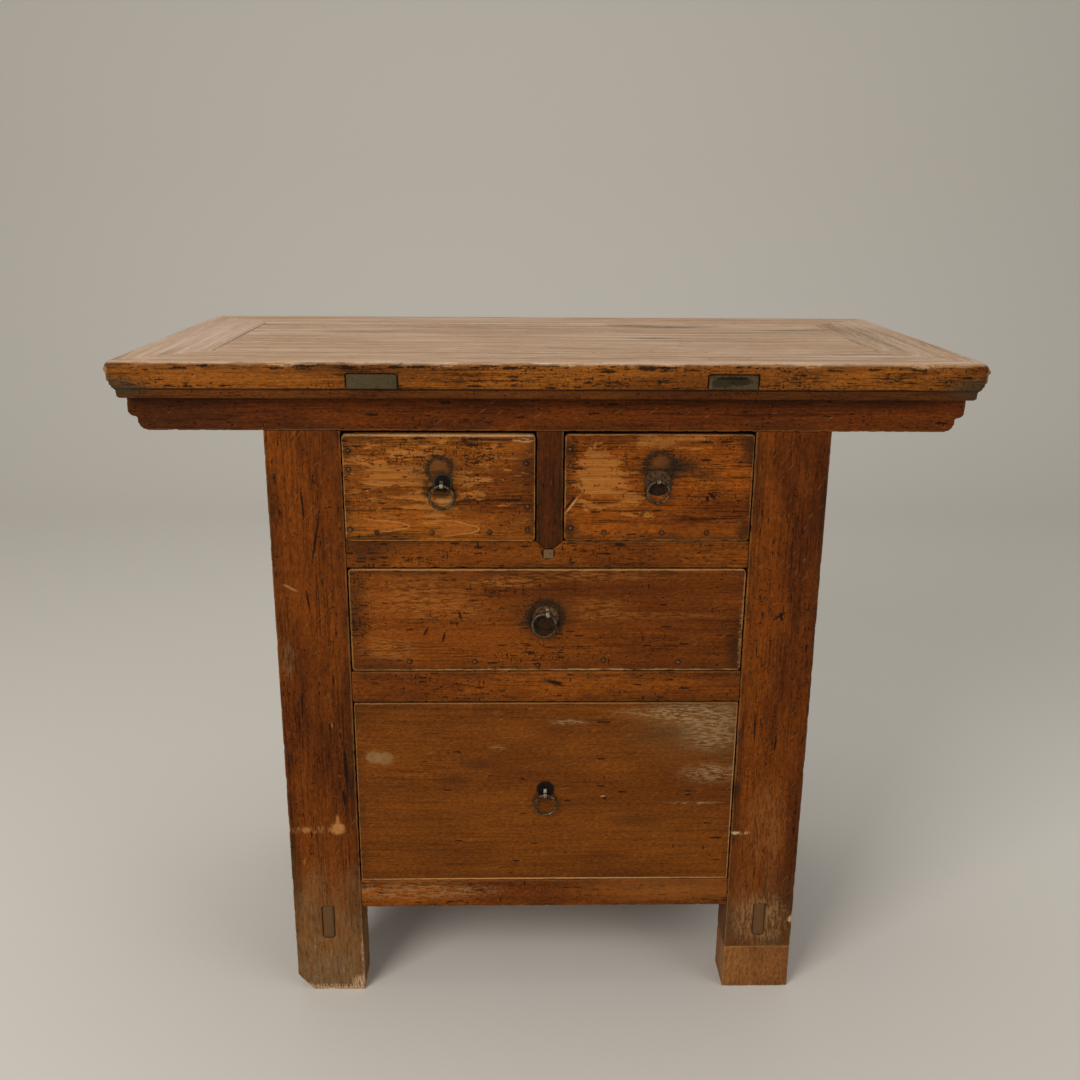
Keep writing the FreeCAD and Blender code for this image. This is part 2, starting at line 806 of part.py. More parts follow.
def drawer_boards(x0, x1, z0, z1, face_y, dovetailed):
    """Front, two sides, back and bottom of a drawer whose front fills x0 to x1 and z0 to z1."""
    inset = 0 if dovetailed else nailed_board_inset
    lip = dovetail_lap if dovetailed else nailed_lip
    outer_left = x0 + inset
    outer_right = x1 - inset
    inner_left = outer_left + side_thickness
    inner_right = outer_right - side_thickness
    front_back = face_y + front_thickness
    side_front = front_back if dovetailed else face_y + lip
    bottom_front = front_back - bottom_groove_depth if dovetailed else face_y + lip
    rear = back_rail_front_y - drawer_rear_space
    rear_board_front = rear - back_thickness
    side_bottom = z0 - drawer_bottom_gap + runner_clearance
    side_top = z1 - side_drop
    back_top = side_top - back_drop
    floor_z = side_bottom + bottom_height
    floor_top = floor_z + bottom_thickness

    def across(solid):
        return solid.mirror(Vector((x0 + x1) / 2, 0, 0), X)

    front = block(x0, x1, face_y, front_back, z0, z1)
    slot_left = inner_left - bottom_groove_depth
    slot_right = inner_right + bottom_groove_depth
    slot = block(slot_left, slot_right, bottom_front, rear, floor_z, floor_top)
    bottom = block(
        slot_left + bottom_play, slot_right - bottom_play, bottom_front, rear, floor_z, floor_top
    )
    if dovetailed:
        tails = dovetails(outer_left, side_bottom, side_top, side_front, face_y + lip)
        rear_tails = dovetails(outer_left, floor_top, back_top, rear_board_front, rear)
        side = block(outer_left, inner_left, side_front, rear_board_front, side_bottom, side_top)
        side = joined(side, *tails, *rear_tails)
        front = cut_away(front, *tails, *[across(tail) for tail in tails])
        back = block(outer_left, outer_right, rear_board_front, rear, floor_top, back_top)
        back = cut_away(back, *rear_tails, *[across(tail) for tail in rear_tails])
    else:
        side = block(outer_left, inner_left, side_front, rear, side_bottom, side_top)
        corners = [edge for edge in front.Edges if edge.BoundBox.YLength > front_thickness / 2]
        front = cut_away(
            front.makeFillet(front_corner_rounding, corners),
            block(x0, inner_left, side_front, front_back, z0, z1),
            block(inner_right, x1, side_front, front_back, z0, z1),
        )
        back = block(inner_left, inner_right, rear_board_front, rear, floor_top, back_top)
    sides = [cut_away(board, slot) for board in (side, across(side))]
    return {"front": cut_away(front, slot), "sides": sides, "back": back, "bottom": bottom}


def dovetails(x0, z0, z1, root_y, end_y):
    """Tails of a side board, from root_y to their widest at end_y, with half a pin at each end."""
    pitch = (z1 - z0) / dovetail_count
    half_end = (pitch - dovetail_pin_width) / 2
    half_root = half_end - dovetail_flare
    tails = []
    for index in range(dovetail_count):
        middle = z0 + pitch * (index + 0.5)
        points = [
            Vector(x0, root_y, middle - half_root),
            Vector(x0, end_y, middle - half_end),
            Vector(x0, end_y, middle + half_end),
            Vector(x0, root_y, middle + half_root),
        ]
        tails.append(flat_face(points).extrude(X * side_thickness))
    return tails


def make_drawer(name, opening_x, opening_z, proud, top_gap, pull, nail_places):
    """One drawer in its opening. A drawer without nails is dovetailed."""
    x0 = opening_x[0] + drawer_side_gap
    x1 = opening_x[1] - drawer_side_gap
    z0 = opening_z[0] + drawer_bottom_gap
    z1 = opening_z[1] - top_gap
    face_y = front_y - proud
    hole = ((x0 + x1) / 2 + pull["hole_x"], (z0 + z1) / 2 + pull["hole_z"], face_y)
    boards = drawer_boards(x0, x1, z0, z1, face_y, not nail_places)
    save(name + "_front", [cut_away(boards["front"], staple_hole(*hole))])
    save(name + "_sides", boards["sides"])
    save(name + "_back", [boards["back"]])
    save(name + "_bottom", [boards["bottom"]])
    save(name + "_pull_plate", [pull_plate(*hole, pull)])
    save(name + "_pull_staple", [pull_staple(*hole, pull)])
    save(name + "_pull_ring", [pull_ring(*hole, pull)])
    nails = []
    for dx, dz in nail_places:
        nails.append(nail((x0 if dx > 0 else x1) + dx, face_y, (z0 if dz > 0 else z1) + dz))
    if nails:
        save(name + "_nails", nails)
    print(name, "front from", x0, face_y, z0, "to", x1, z1, "with its pull's hole at", hole[0], hole[2])


def make_drawers():
    small_z = small_opening_bottom, apron_bottom
    wide_z = wide_opening_bottom, upper_rail_bottom
    deep_z = deep_opening_bottom, middle_rail_bottom
    full_x = -opening_half, opening_half
    make_drawer(
        "drawer_small_left", (-opening_half, divider_left), small_z,
        small_left_proud, small_drawer_top_gap, small_left_pull, small_left_nails,
    )
    make_drawer(
        "drawer_small_right", (divider_right, opening_half), small_z,
        small_right_proud, small_drawer_top_gap, small_right_pull, small_right_nails,
    )
    make_drawer("drawer_wide", full_x, wide_z, wide_proud, drawer_top_gap, wide_pull, wide_nails)
    make_drawer("drawer_deep", full_x, deep_z, deep_proud, drawer_top_gap, deep_pull, [])


os.makedirs("parts", exist_ok=True)
make_top()
make_front_rails()
make_back_rails()
make_aprons()
make_sides()
make_legs()
make_runners()
make_drawers()
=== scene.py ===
# %% [markdown]
# # A worn side cabinet of elm
# The cabinet is a framed top on four tall legs, with two small drawers, a wide one and a deep one. Its
# construction is fixed: every board and every piece of iron arrives as a solid of the right size. This
# script gives those pieces what a century of use gave the real ones: rubbed arrises, dents, worn lacquer,
# rust and dust.

import json
import math

import bmesh
import bpy
from mathutils import Matrix, Vector


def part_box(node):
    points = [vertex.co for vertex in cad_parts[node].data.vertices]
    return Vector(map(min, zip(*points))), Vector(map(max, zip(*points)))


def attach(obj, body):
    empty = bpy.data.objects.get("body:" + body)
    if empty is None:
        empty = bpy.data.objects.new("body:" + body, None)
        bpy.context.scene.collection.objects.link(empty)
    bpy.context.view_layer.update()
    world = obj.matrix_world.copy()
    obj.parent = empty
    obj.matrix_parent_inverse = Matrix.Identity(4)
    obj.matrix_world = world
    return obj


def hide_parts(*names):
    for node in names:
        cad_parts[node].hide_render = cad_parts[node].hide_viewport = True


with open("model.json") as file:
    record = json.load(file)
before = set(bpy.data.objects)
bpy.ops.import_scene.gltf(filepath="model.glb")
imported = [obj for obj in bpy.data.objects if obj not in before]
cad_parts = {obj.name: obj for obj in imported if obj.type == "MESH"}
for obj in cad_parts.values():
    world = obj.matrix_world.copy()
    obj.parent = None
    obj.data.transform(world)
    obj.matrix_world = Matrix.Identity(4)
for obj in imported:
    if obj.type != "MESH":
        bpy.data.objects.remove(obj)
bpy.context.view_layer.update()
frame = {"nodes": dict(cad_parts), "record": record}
BODY_OF = {}
for body_name, body_nodes in frame["record"]["behaviour"]["bodies"].items():
    for body_node in body_nodes:
        BODY_OF[body_node] = body_name

# %% [markdown]
# ## Small helpers for node trees
# Materials and Geometry Nodes are both graphs. Two short functions keep the rest of the script readable:
# one adds a node and wires or sets its inputs in the same call, the other does a sum with a Math node.
# Colours are judged as 0 to 255 screen values, and the sockets want linear light, so a third
# function converts them. The others wrap a node or two that come back again and again.

# %% Node helpers
def add(tree, kind, inputs=None, **settings):
    """Add a node. An input that is another node's output is linked, anything else is set."""
    new = tree.nodes.new(kind)
    for key, value in settings.items():
        setattr(new, key, value)
    for key, value in (inputs or {}).items():
        if isinstance(value, bpy.types.NodeSocket):
            tree.links.new(value, new.inputs[key])
        else:
            new.inputs[key].default_value = value
    return new


def calc(tree, operation, a, b=0.0, c=0.0, clamp=False):
    return add(tree, "ShaderNodeMath", {0: a, 1: b, 2: c}, operation=operation, use_clamp=clamp).outputs[0]


def vector_calc(tree, operation, a, b=(0.0, 0.0, 0.0)):
    return add(tree, "ShaderNodeVectorMath", {0: a, 1: b}, operation=operation).outputs[0]


def scaled(tree, vector, factor):
    return add(tree, "ShaderNodeVectorMath", {0: vector, "Scale": factor}, operation="SCALE").outputs[0]


def length(tree, vector):
    return add(tree, "ShaderNodeVectorMath", {0: vector}, operation="LENGTH").outputs["Value"]


def parts_of(tree, vector):
    return add(tree, "ShaderNodeSeparateXYZ", {0: vector}).outputs


def turned(tree, vector, angle):
    """A vector turned about Y, the direction that the fronts face."""
    inputs = {"Vector": vector, "Axis": (0.0, 1.0, 0.0), "Angle": angle}
    return add(tree, "ShaderNodeVectorRotate", inputs, rotation_type="AXIS_ANGLE").outputs[0]


def noise(tree, vector, stretch, detail=2.0, roughness=0.5, distortion=0.0, output="Fac"):
    """Smooth random values from 0 to 1. Each number of stretch is how often they vary in a metre."""
    stretched = vector_calc(tree, "MULTIPLY", vector, stretch)
    inputs = {"Vector": stretched, "Scale": 1.0, "Detail": detail, "Roughness": roughness,
              "Distortion": distortion}
    return add(tree, "ShaderNodeTexNoise", inputs).outputs[output]


def frayed(tree, vector, often, amount, detail=3.0):
    """Move each place a little, at random, so that what is drawn there gets ragged edges."""
    stray = noise(tree, vector, (often,) * 3, detail, 0.6, output="Color")
    centred = vector_calc(tree, "SUBTRACT", stray, (0.5, 0.5, 0.5))
    return vector_calc(tree, "ADD", vector, vector_calc(tree, "MULTIPLY", centred, (amount,) * 3))


def ramp(tree, value, low, high, to_low=0.0, to_high=1.0):
    """Map low..high smoothly to to_low..to_high, and hold it there outside."""
    inputs = {"Value": value, "From Min": low, "From Max": high, "To Min": to_low, "To Max": to_high}
    return add(tree, "ShaderNodeMapRange", inputs, interpolation_type="SMOOTHSTEP").outputs[0]


def linear(screen_colour):
    """Screen values of 0 to 255 as linear light, with an alpha of 1."""
    light = []
    for value in screen_colour:
        share = value / 255
        light.append(share / 12.92 if share <= 0.04045 else ((share + 0.055) / 1.055) ** 2.4)
    return (*light, 1.0)


def mix_colour(tree, mask, below, above, blend="MIX"):
    inputs = {"Factor": mask, 6: below, 7: above}
    return add(tree, "ShaderNodeMix", inputs, data_type="RGBA", blend_type=blend).outputs[2]


def new_group(name, kind, inputs, outputs):
    """An empty node group with named sockets: (name, socket kind, default)."""
    tree = bpy.data.node_groups.new(name, kind)
    for socket_name, socket_kind, default in inputs:
        socket = tree.interface.new_socket(socket_name, in_out="INPUT", socket_type="NodeSocket" + socket_kind)
        if default is not None:
            socket.default_value = default
    for socket_name, socket_kind in outputs:
        tree.interface.new_socket(socket_name, in_out="OUTPUT", socket_type="NodeSocket" + socket_kind)
    return tree, tree.nodes.new("NodeGroupInput").outputs, tree.nodes.new("NodeGroupOutput")


def give(tree, result, **values):
    """Wire values to a group's outputs."""
    for name, value in values.items():
        tree.links.new(value, result.inputs[name])
    return tree


def end_tree(tree, given, result, geometry):
    """Shade a surface smooth, make its instances real, give it its material and end the tree."""
    smooth = add(tree, "GeometryNodeSetShadeSmooth", {"Geometry": geometry}).outputs[0]
    real = add(tree, "GeometryNodeRealizeInstances", {"Geometry": smooth}).outputs[0]
    dressed = add(tree, "GeometryNodeSetMaterial", {"Geometry": real, "Material": given["Material"]})
    return give(tree, result, Geometry=dressed.outputs[0])


print("helpers ready")

# %% [markdown]
# ## Weathering the shape
# A planed board has crisp arrises and flat faces. After long use the arrises are rubbed round and nicked,
# and the faces are faintly hollow. Modelling that by hand would take days for thirty boards. Instead a
# voxel remesh turns each solid into an even skin with slightly softened edges, and one Geometry Nodes tree
# pushes the skin inwards: a little everywhere, and more where it is near an edge and the noise is high.
# Nothing is ever pushed outwards, so no board grows into its neighbour. The tree also stores how far each
# point is from the nearest edge of its board, which the materials use later for rubbed edges and grime.

# %% The weathering tree
def weathering_tree():
    tree, given, result = new_group(
        "Weather Wood", "GeometryNodeTree",
        [
            ("Geometry", "Geometry", None), ("Wave Depth", "Float", 0.0003), ("Nick Depth", "Float", 0.001),
            ("Nick Reach", "Float", 0.004), ("Nick Scale", "Float", 90.0), ("Seed", "Float", 0.0),
            ("Foot Height", "Float", 0.0), ("Low", "Vector", (-1.0, -1.0, -1.0)),
            ("High", "Vector", (1.0, 1.0, 1.0)), ("Material", "Material", None),
        ],
        [("Geometry", "Geometry")],
    )
    place = add(tree, "GeometryNodeInputPosition").outputs[0]
    box = add(tree, "GeometryNodeBoundBox", {"Geometry": given["Geometry"]}).outputs
    from_low = vector_calc(tree, "SUBTRACT", place, box["Min"])
    from_high = vector_calc(tree, "SUBTRACT", box["Max"], place)
    nearest = parts_of(tree, vector_calc(tree, "MINIMUM", from_low, from_high))
    least = calc(tree, "MINIMUM", calc(tree, "MINIMUM", nearest[0], nearest[1]), nearest[2])
    most = calc(tree, "MAXIMUM", calc(tree, "MAXIMUM", nearest[0], nearest[1]), nearest[2])
    total = calc(tree, "ADD", calc(tree, "ADD", nearest[0], nearest[1]), nearest[2])
    edge = calc(tree, "SUBTRACT", calc(tree, "SUBTRACT", total, least), most)

    moved = vector_calc(tree, "ADD", place, add(tree, "ShaderNodeCombineXYZ", {0: given["Seed"]}).outputs[0])
    wave = calc(tree, "MULTIPLY", noise(tree, moved, (7, 7, 7), 1), given["Wave Depth"])
    nick_noise = add(tree, "ShaderNodeTexNoise", {"Vector": moved, "Scale": given["Nick Scale"], "Detail": 3.0})
    nick = ramp(tree, nick_noise.outputs["Fac"], 0.48, 0.72)
    near = calc(tree, "SUBTRACT", 1.0, calc(tree, "DIVIDE", edge, given["Nick Reach"]), clamp=True)
    nick = calc(tree, "MULTIPLY", calc(tree, "MULTIPLY", nick, near), given["Nick Depth"])
    height = parts_of(tree, place)[2]
    foot = calc(tree, "SUBTRACT", 1.0, calc(tree, "DIVIDE", height, given["Foot Height"]), clamp=True)
    foot = calc(tree, "MULTIPLY", foot, calc(tree, "GREATER_THAN", given["Foot Height"], 0.0))
    nick = calc(tree, "MULTIPLY", nick, calc(tree, "MULTIPLY_ADD", foot, 0.8, 1.0))
    depth = calc(tree, "MULTIPLY", calc(tree, "ADD", wave, nick), -1.0)
    inward = scaled(tree, add(tree, "GeometryNodeInputNormal").outputs[0], depth)

    inputs = {"Geometry": given["Geometry"], "Name": "edge", "Value": edge}
    stored = add(tree, "GeometryNodeStoreNamedAttribute", inputs).outputs[0]
    target = vector_calc(tree, "MAXIMUM", vector_calc(tree, "ADD", place, inward), given["Low"])
    target = vector_calc(tree, "MINIMUM", target, given["High"])
    pushed = add(tree, "GeometryNodeSetPosition", {"Geometry": stored, "Position": target}).outputs[0]
    return end_tree(tree, given, result, pushed)


WEATHER = weathering_tree()
print("weathering tree:", len(WEATHER.nodes), "nodes")

# %% [markdown]
# A tree's inputs are set on the modifier by each socket's identifier. The result is read back as a plain
# mesh, and the modifiers go, so that what is kept is only the finished shape.

# %% Apply a tree and keep its mesh
def set_inputs(modifier, values):
    for item in modifier.node_group.interface.items_tree:
        if item.item_type == "SOCKET" and item.in_out == "INPUT" and item.name in values:
            modifier[item.identifier] = values[item.name]


def settle(piece):
    """Replace an object's mesh by what its modifiers make of it, and drop the modifiers."""
    graph = bpy.context.evaluated_depsgraph_get()
    finished = bpy.data.meshes.new_from_object(piece.evaluated_get(graph))
    finished.name = piece.name
    piece.modifiers.clear()
    piece.data = finished
    return piece


def linked(name, mesh):
    piece = bpy.data.objects.new(name, mesh)
    bpy.context.scene.collection.objects.link(piece)
    return piece


def stand_for(piece, node):
    """Put a piece in the place of its solid, on the same body."""
    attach(piece, BODY_OF[node])
    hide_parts(node)
    print(piece.name, len(piece.data.polygons), "faces")


def weathered(node, material, voxel=0.002, keep=0.4, wave=0.0003, nick=0.0012, reach=0.004, scale=90.0, seed=0.0,
              foot=0.0):
    """A used copy of a solid, which stands for it and stays inside its box."""
    low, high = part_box(node)
    mesh = frame["nodes"][node].data.copy()
    solid = bmesh.new()
    solid.from_mesh(mesh)
    bmesh.ops.remove_doubles(solid, verts=solid.verts, dist=1e-6)
    solid.to_mesh(mesh)
    solid.free()
    mesh.materials.clear()
    piece = linked(node + "_worn", mesh)
    skin = piece.modifiers.new("skin", "REMESH")
    skin.mode = "VOXEL"
    skin.voxel_size = voxel
    weather = piece.modifiers.new("weather", "NODES")
    weather.node_group = WEATHER
    set_inputs(weather, {
        "Wave Depth": wave, "Nick Depth": nick, "Nick Reach": reach, "Nick Scale": scale, "Seed": seed,
        "Foot Height": foot, "Low": list(low), "High": list(high), "Material": material,
    })
    thin = piece.modifiers.new("thin", "DECIMATE")
    thin.ratio = keep
    settle(piece)
    stand_for(piece, node)


# %% [markdown]
# ## Wood grain
# Elm shows growth rings, fibre and open pores. Growth rings are shells round the pith of the tree, so a
# board shows where its faces cut those shells: stripes at the sides and pointed arches in the middle. The
# group below measures the distance to a pith line that wanders, which gives both from one rule, on every
# face of a board at once. Fibre and pores are noise that is stretched along the grain.

# %% Grain group
def grain_group():
    tree, given, result = new_group(
        "Elm Grain", "ShaderNodeTree",
        [("Vector", "Vector", None), ("Pith", "Vector", (0.0, 0.05, 0.0)), ("Ring Spacing", "Float", 0.008),
         ("Wander", "Float", 0.02)],
        [("Rings", "Float"), ("Fibre", "Float"), ("Pores", "Float"), ("Streaks", "Float")],
    )
    place = given["Vector"]
    drift = noise(tree, place, (1.6, 5, 5), 3, 0.5, output="Color")
    centred = vector_calc(tree, "SUBTRACT", drift, (0.5, 0.5, 0.5))
    moved = scaled(tree, centred, given["Wander"])
    from_pith = vector_calc(tree, "SUBTRACT", vector_calc(tree, "ADD", place, moved), given["Pith"])
    flat = vector_calc(tree, "MULTIPLY", from_pith, (0.0, 1.0, 1.0))
    year = calc(tree, "FRACT", calc(tree, "DIVIDE", length(tree, flat), given["Ring Spacing"]))
    rings = calc(tree, "POWER", year, 2.5)
    fade = ramp(tree, noise(tree, place, (3, 40, 40), 2), 0.3, 0.65)
    rings = calc(tree, "MULTIPLY", rings, fade)
    fibre = noise(tree, place, (22, 800, 800), 3, 0.65)
    pores = ramp(tree, noise(tree, place, (70, 1500, 1500), 1), 0.6, 0.72)
    lines = noise(tree, place, (16, 430, 430), 6, 0.68, 0.5)
    thick = noise(tree, place, (5, 34, 34), 4, 0.6)
    streaks = calc(tree, "MULTIPLY", ramp(tree, lines, 0.46, 0.62), ramp(tree, thick, 0.36, 0.62, 0.15, 1.0))
    return give(tree, result, Rings=rings, Fibre=fibre, Pores=pores, Streaks=streaks)


GRAIN = grain_group()
print("grain group:", len(GRAIN.nodes), "nodes")

# %% [markdown]
# ## Wear, knocks and marks
# Lacquer goes first where hands and dust cloths pass: in streaks along the grain and along every arris.
# Dirt stays where nothing reaches. Five groups hold these effects, so that each material can use them with
# its own amounts: **Worn Lacquer** for the large pattern of bare and dirty places, **Flecks** for crisp
# small marks, **Knocks** for gouges that are dark with old dirt, **Placed Mark** for one stain or scuff at
# a known place, and **Grain Arch** for a growth ring that runs out in a point.

# %% Wear groups
def wear_group():
    tree, given, result = new_group(
        "Worn Lacquer", "ShaderNodeTree",
        [("Vector", "Vector", None), ("Edge", "Float", 1.0), ("Bareness", "Float", 0.3),
         ("Rub Width", "Float", 0.002), ("Grime Width", "Float", 0.02)],
        [("Bare", "Float"), ("Rub", "Float"), ("Grime", "Float")],
    )
    place = given["Vector"]
    streaks = noise(tree, place, (24, 110, 110), 8, 0.66, 0.5)
    patches = noise(tree, place, (4, 9, 9), 3, 0.5)
    field = calc(tree, "ADD", calc(tree, "MULTIPLY", streaks, 0.6), calc(tree, "MULTIPLY", patches, 0.4))
    level = calc(tree, "SUBTRACT", 0.72, calc(tree, "MULTIPLY", given["Bareness"], 0.5))
    bare = ramp(tree, calc(tree, "SUBTRACT", field, level), -0.012, 0.02)
    ragged = noise(tree, place, (50, 220, 220), 3, 0.6)
    reach = calc(tree, "MULTIPLY", given["Rub Width"], calc(tree, "MULTIPLY", ragged, 2.2))
    rub = ramp(tree, calc(tree, "DIVIDE", given["Edge"], reach), 1.1, 0.5)
    dirt = ramp(tree, noise(tree, place, (14, 40, 40), 5, 0.65), 0.35, 0.62)
    near = ramp(tree, calc(tree, "DIVIDE", given["Edge"], given["Grime Width"]), 1.0, 0.0)
    return give(tree, result, Bare=bare, Rub=rub, Grime=calc(tree, "MULTIPLY", dirt, near))


def flecks_group():
    """Crisp marks. The space is cut into cells, a share of them is filled, and each has its own size."""
    tree, given, result = new_group(
        "Flecks", "ShaderNodeTree",
        [("Vector", "Vector", None), ("Stretch", "Vector", (100.0, 400.0, 400.0)), ("Share", "Float", 0.2),
         ("Size", "Float", 0.4)],
        [("Mask", "Float")],
    )
    cells = vector_calc(tree, "MULTIPLY", given["Vector"], given["Stretch"])
    grid = add(tree, "ShaderNodeTexVoronoi", {"Vector": cells, "Scale": 1.0}).outputs
    lot = add(tree, "ShaderNodeSeparateColor", {0: grid["Color"]}).outputs
    filled = calc(tree, "LESS_THAN", lot[0], given["Share"])
    radius = calc(tree, "MULTIPLY", given["Size"], calc(tree, "MULTIPLY_ADD", lot[1], 0.6, 0.5))
    body = ramp(tree, calc(tree, "DIVIDE", grid["Distance"], radius), 1.0, 0.7)
    return give(tree, result, Mask=calc(tree, "MULTIPLY", filled, body))


FLECKS = flecks_group()


def flecks(tree, place, stretch, share, size):
    inputs = {"Vector": place, "Stretch": stretch, "Share": share, "Size": size}
    return add(tree, "ShaderNodeGroup", inputs, node_tree=FLECKS).outputs[0]


GOUGE_KINDS = (  # cells in a metre along and across the grain, share of the cells, size
    ((46.0, 270.0, 270.0), 0.4, 0.5), ((70.0, 400.0, 400.0), 0.7, 0.48), ((400.0, 400.0, 95.0), 0.35, 0.42),
    ((210.0, 700.0, 700.0), 1.0, 0.45), ((420.0, 420.0, 420.0), 0.5, 0.42),
)


def knocks_group():
    """Gouges of several lengths, dents, and fine scratches at a few angles to the grain."""
    tree, given, result = new_group(
        "Knocks", "ShaderNodeTree",
        [("Vector", "Vector", None), ("Amount", "Float", 0.3)],
        [("Gouges", "Float"), ("Dents", "Float"), ("Scratches", "Float")],
    )
    place = given["Vector"]
    ragged = frayed(tree, place, 420, 0.003)
    crowd = ramp(tree, noise(tree, place, (11, 24, 24), 3, 0.6), 0.38, 0.68, 0.1, 0.8)
    share = calc(tree, "MULTIPLY", crowd, given["Amount"])
    gouges = 0.0
    for stretch, part, size in GOUGE_KINDS:
        mask = flecks(tree, ragged, stretch, calc(tree, "MULTIPLY", share, part), size)
        gouges = calc(tree, "MAXIMUM", gouges, mask)
    dents = noise(tree, place, (60, 90, 90), 2)
    swerve = calc(tree, "SNAP", calc(tree, "MULTIPLY", noise(tree, place, (9, 9, 9), 1), 1.6), 0.3)
    scratches = flecks(tree, turned(tree, place, swerve), (60.0, 900.0, 900.0), 0.04, 0.42)
    return give(tree, result, Gouges=gouges, Dents=dents, Scratches=scratches)


def mark_group():
    tree, given, result = new_group(
        "Placed Mark", "ShaderNodeTree",
        [("Vector", "Vector", None), ("Centre", "Vector", (0.0, 0.0, 0.0)),
         ("Reach", "Vector", (0.01, 0.01, 0.01)), ("Turn", "Float", 0.0), ("Ragged", "Float", 0.5),
         ("Softness", "Float", 0.3)],
        [("Mask", "Float"), ("Rim", "Float")],
    )
    local = turned(tree, vector_calc(tree, "SUBTRACT", given["Vector"], given["Centre"]), given["Turn"])
    far = length(tree, vector_calc(tree, "DIVIDE", local, given["Reach"]))
    fray = noise(tree, given["Vector"], (260, 260, 420), 3, 0.6)
    far = calc(tree, "ADD", far, calc(tree, "MULTIPLY", calc(tree, "SUBTRACT", fray, 0.5), given["Ragged"]))
    start = calc(tree, "ADD", 1.0, given["Softness"])
    mask = ramp(tree, calc(tree, "DIVIDE", calc(tree, "SUBTRACT", start, far), given["Softness"]), 0.0, 2.0)
    rim = ramp(tree, calc(tree, "ABSOLUTE", calc(tree, "SUBTRACT", far, 1.0)), given["Softness"], 0.0)
    return give(tree, result, Mask=mask, Rim=rim)


def arch_group():
    """One pointed arch of a growth ring: a parabola whose tip points along +X."""
    tree, given, result = new_group(
        "Grain Arch", "ShaderNodeTree",
        [("Vector", "Vector", None), ("Tip", "Vector", (0.0, 0.0, 0.0)), ("Steepness", "Float", 500.0),
         ("Length", "Float", 0.05)],
        [("Line", "Float"), ("Inside", "Float")],
    )
    parts = parts_of(tree, vector_calc(tree, "SUBTRACT", frayed(tree, given["Vector"], 30, 0.006), given["Tip"]))
    behind = calc(tree, "MULTIPLY", parts[0], -1.0)
    bend = calc(tree, "MULTIPLY", calc(tree, "MULTIPLY", parts[2], parts[2]), given["Steepness"])
    inside = calc(tree, "SUBTRACT", behind, bend)
    slope = calc(tree, "MULTIPLY", calc(tree, "MULTIPLY", parts[2], given["Steepness"]), 2.0)
    slope = calc(tree, "SQRT", calc(tree, "MULTIPLY_ADD", slope, slope, 1.0))
    far = calc(tree, "DIVIDE", calc(tree, "ABSOLUTE", inside), slope)
    fade = ramp(tree, calc(tree, "DIVIDE", behind, given["Length"]), 1.0, 0.3)
    line = calc(tree, "MULTIPLY", ramp(tree, far, 0.0011, 0.0003), fade)
    return give(tree, result, Line=line, Inside=calc(tree, "MULTIPLY", ramp(tree, inside, 0.0, 0.012), fade))


WEAR = wear_group()
KNOCKS = knocks_group()
MARK = mark_group()
ARCH = arch_group()
print("wear groups ready")

# %% [markdown]
# ## Colours
# All of them are judged as screen values. Old lacquer on elm is a warm red-brown, deeper where it was
# never touched. Where it is rubbed thin, the wood under it gives it a golden tone, and where it is gone, the
# wood is the colour of tea.

# %% Colours of the wood
BARE_PALE = (170, 106, 44)
BARE_DARK = (108, 56, 15)
RED_WARM = (120, 59, 9)
RED_DEEP = (82, 37, 6)
GOLD_WARM = (149, 82, 20)
GOLD_DEEP = (103, 50, 9)
OLD_DIRT = (44, 26, 10)
GOUGE_DARK = (25, 15, 7)
RUBBED_PALE = (158, 112, 60)
IRON_STAIN = (32, 27, 18)
BROWN_STAIN = (58, 32, 12)
DUSTY = (132, 103, 64)
CHIPPED = (196, 160, 122)
GREY_END = (66, 60, 42)
GREEN_STAIN = (92, 92, 78)

# %% [markdown]
# ## A finish in layers
# The materials are built the way a finisher would describe them: wood first, then lacquer, then what time
# did to it. The class keeps the colour, roughness and height reached so far, and each method lays one more
# layer over them. The shader itself stays in the material, and plain numbers are set on its own sockets.
# A field is a number that is raised at a few known places, so that a board can be barer or more knocked
# about there than elsewhere.

# %% The layers
FRONT = -0.2205  # the plane of the legs' and rails' front faces, as a Y value in metres
BEYOND = -0.3  # a plane in front of everything
TENON_ENDS = -0.2165  # through tenons show from here forwards
FLAKY = {"flaky": True}
GLOSSY, DULL = 0.35, 0.56  # roughness of the lacquer at its best and at its worst
FILM = 0.1  # thickness of the lacquer in millimetres


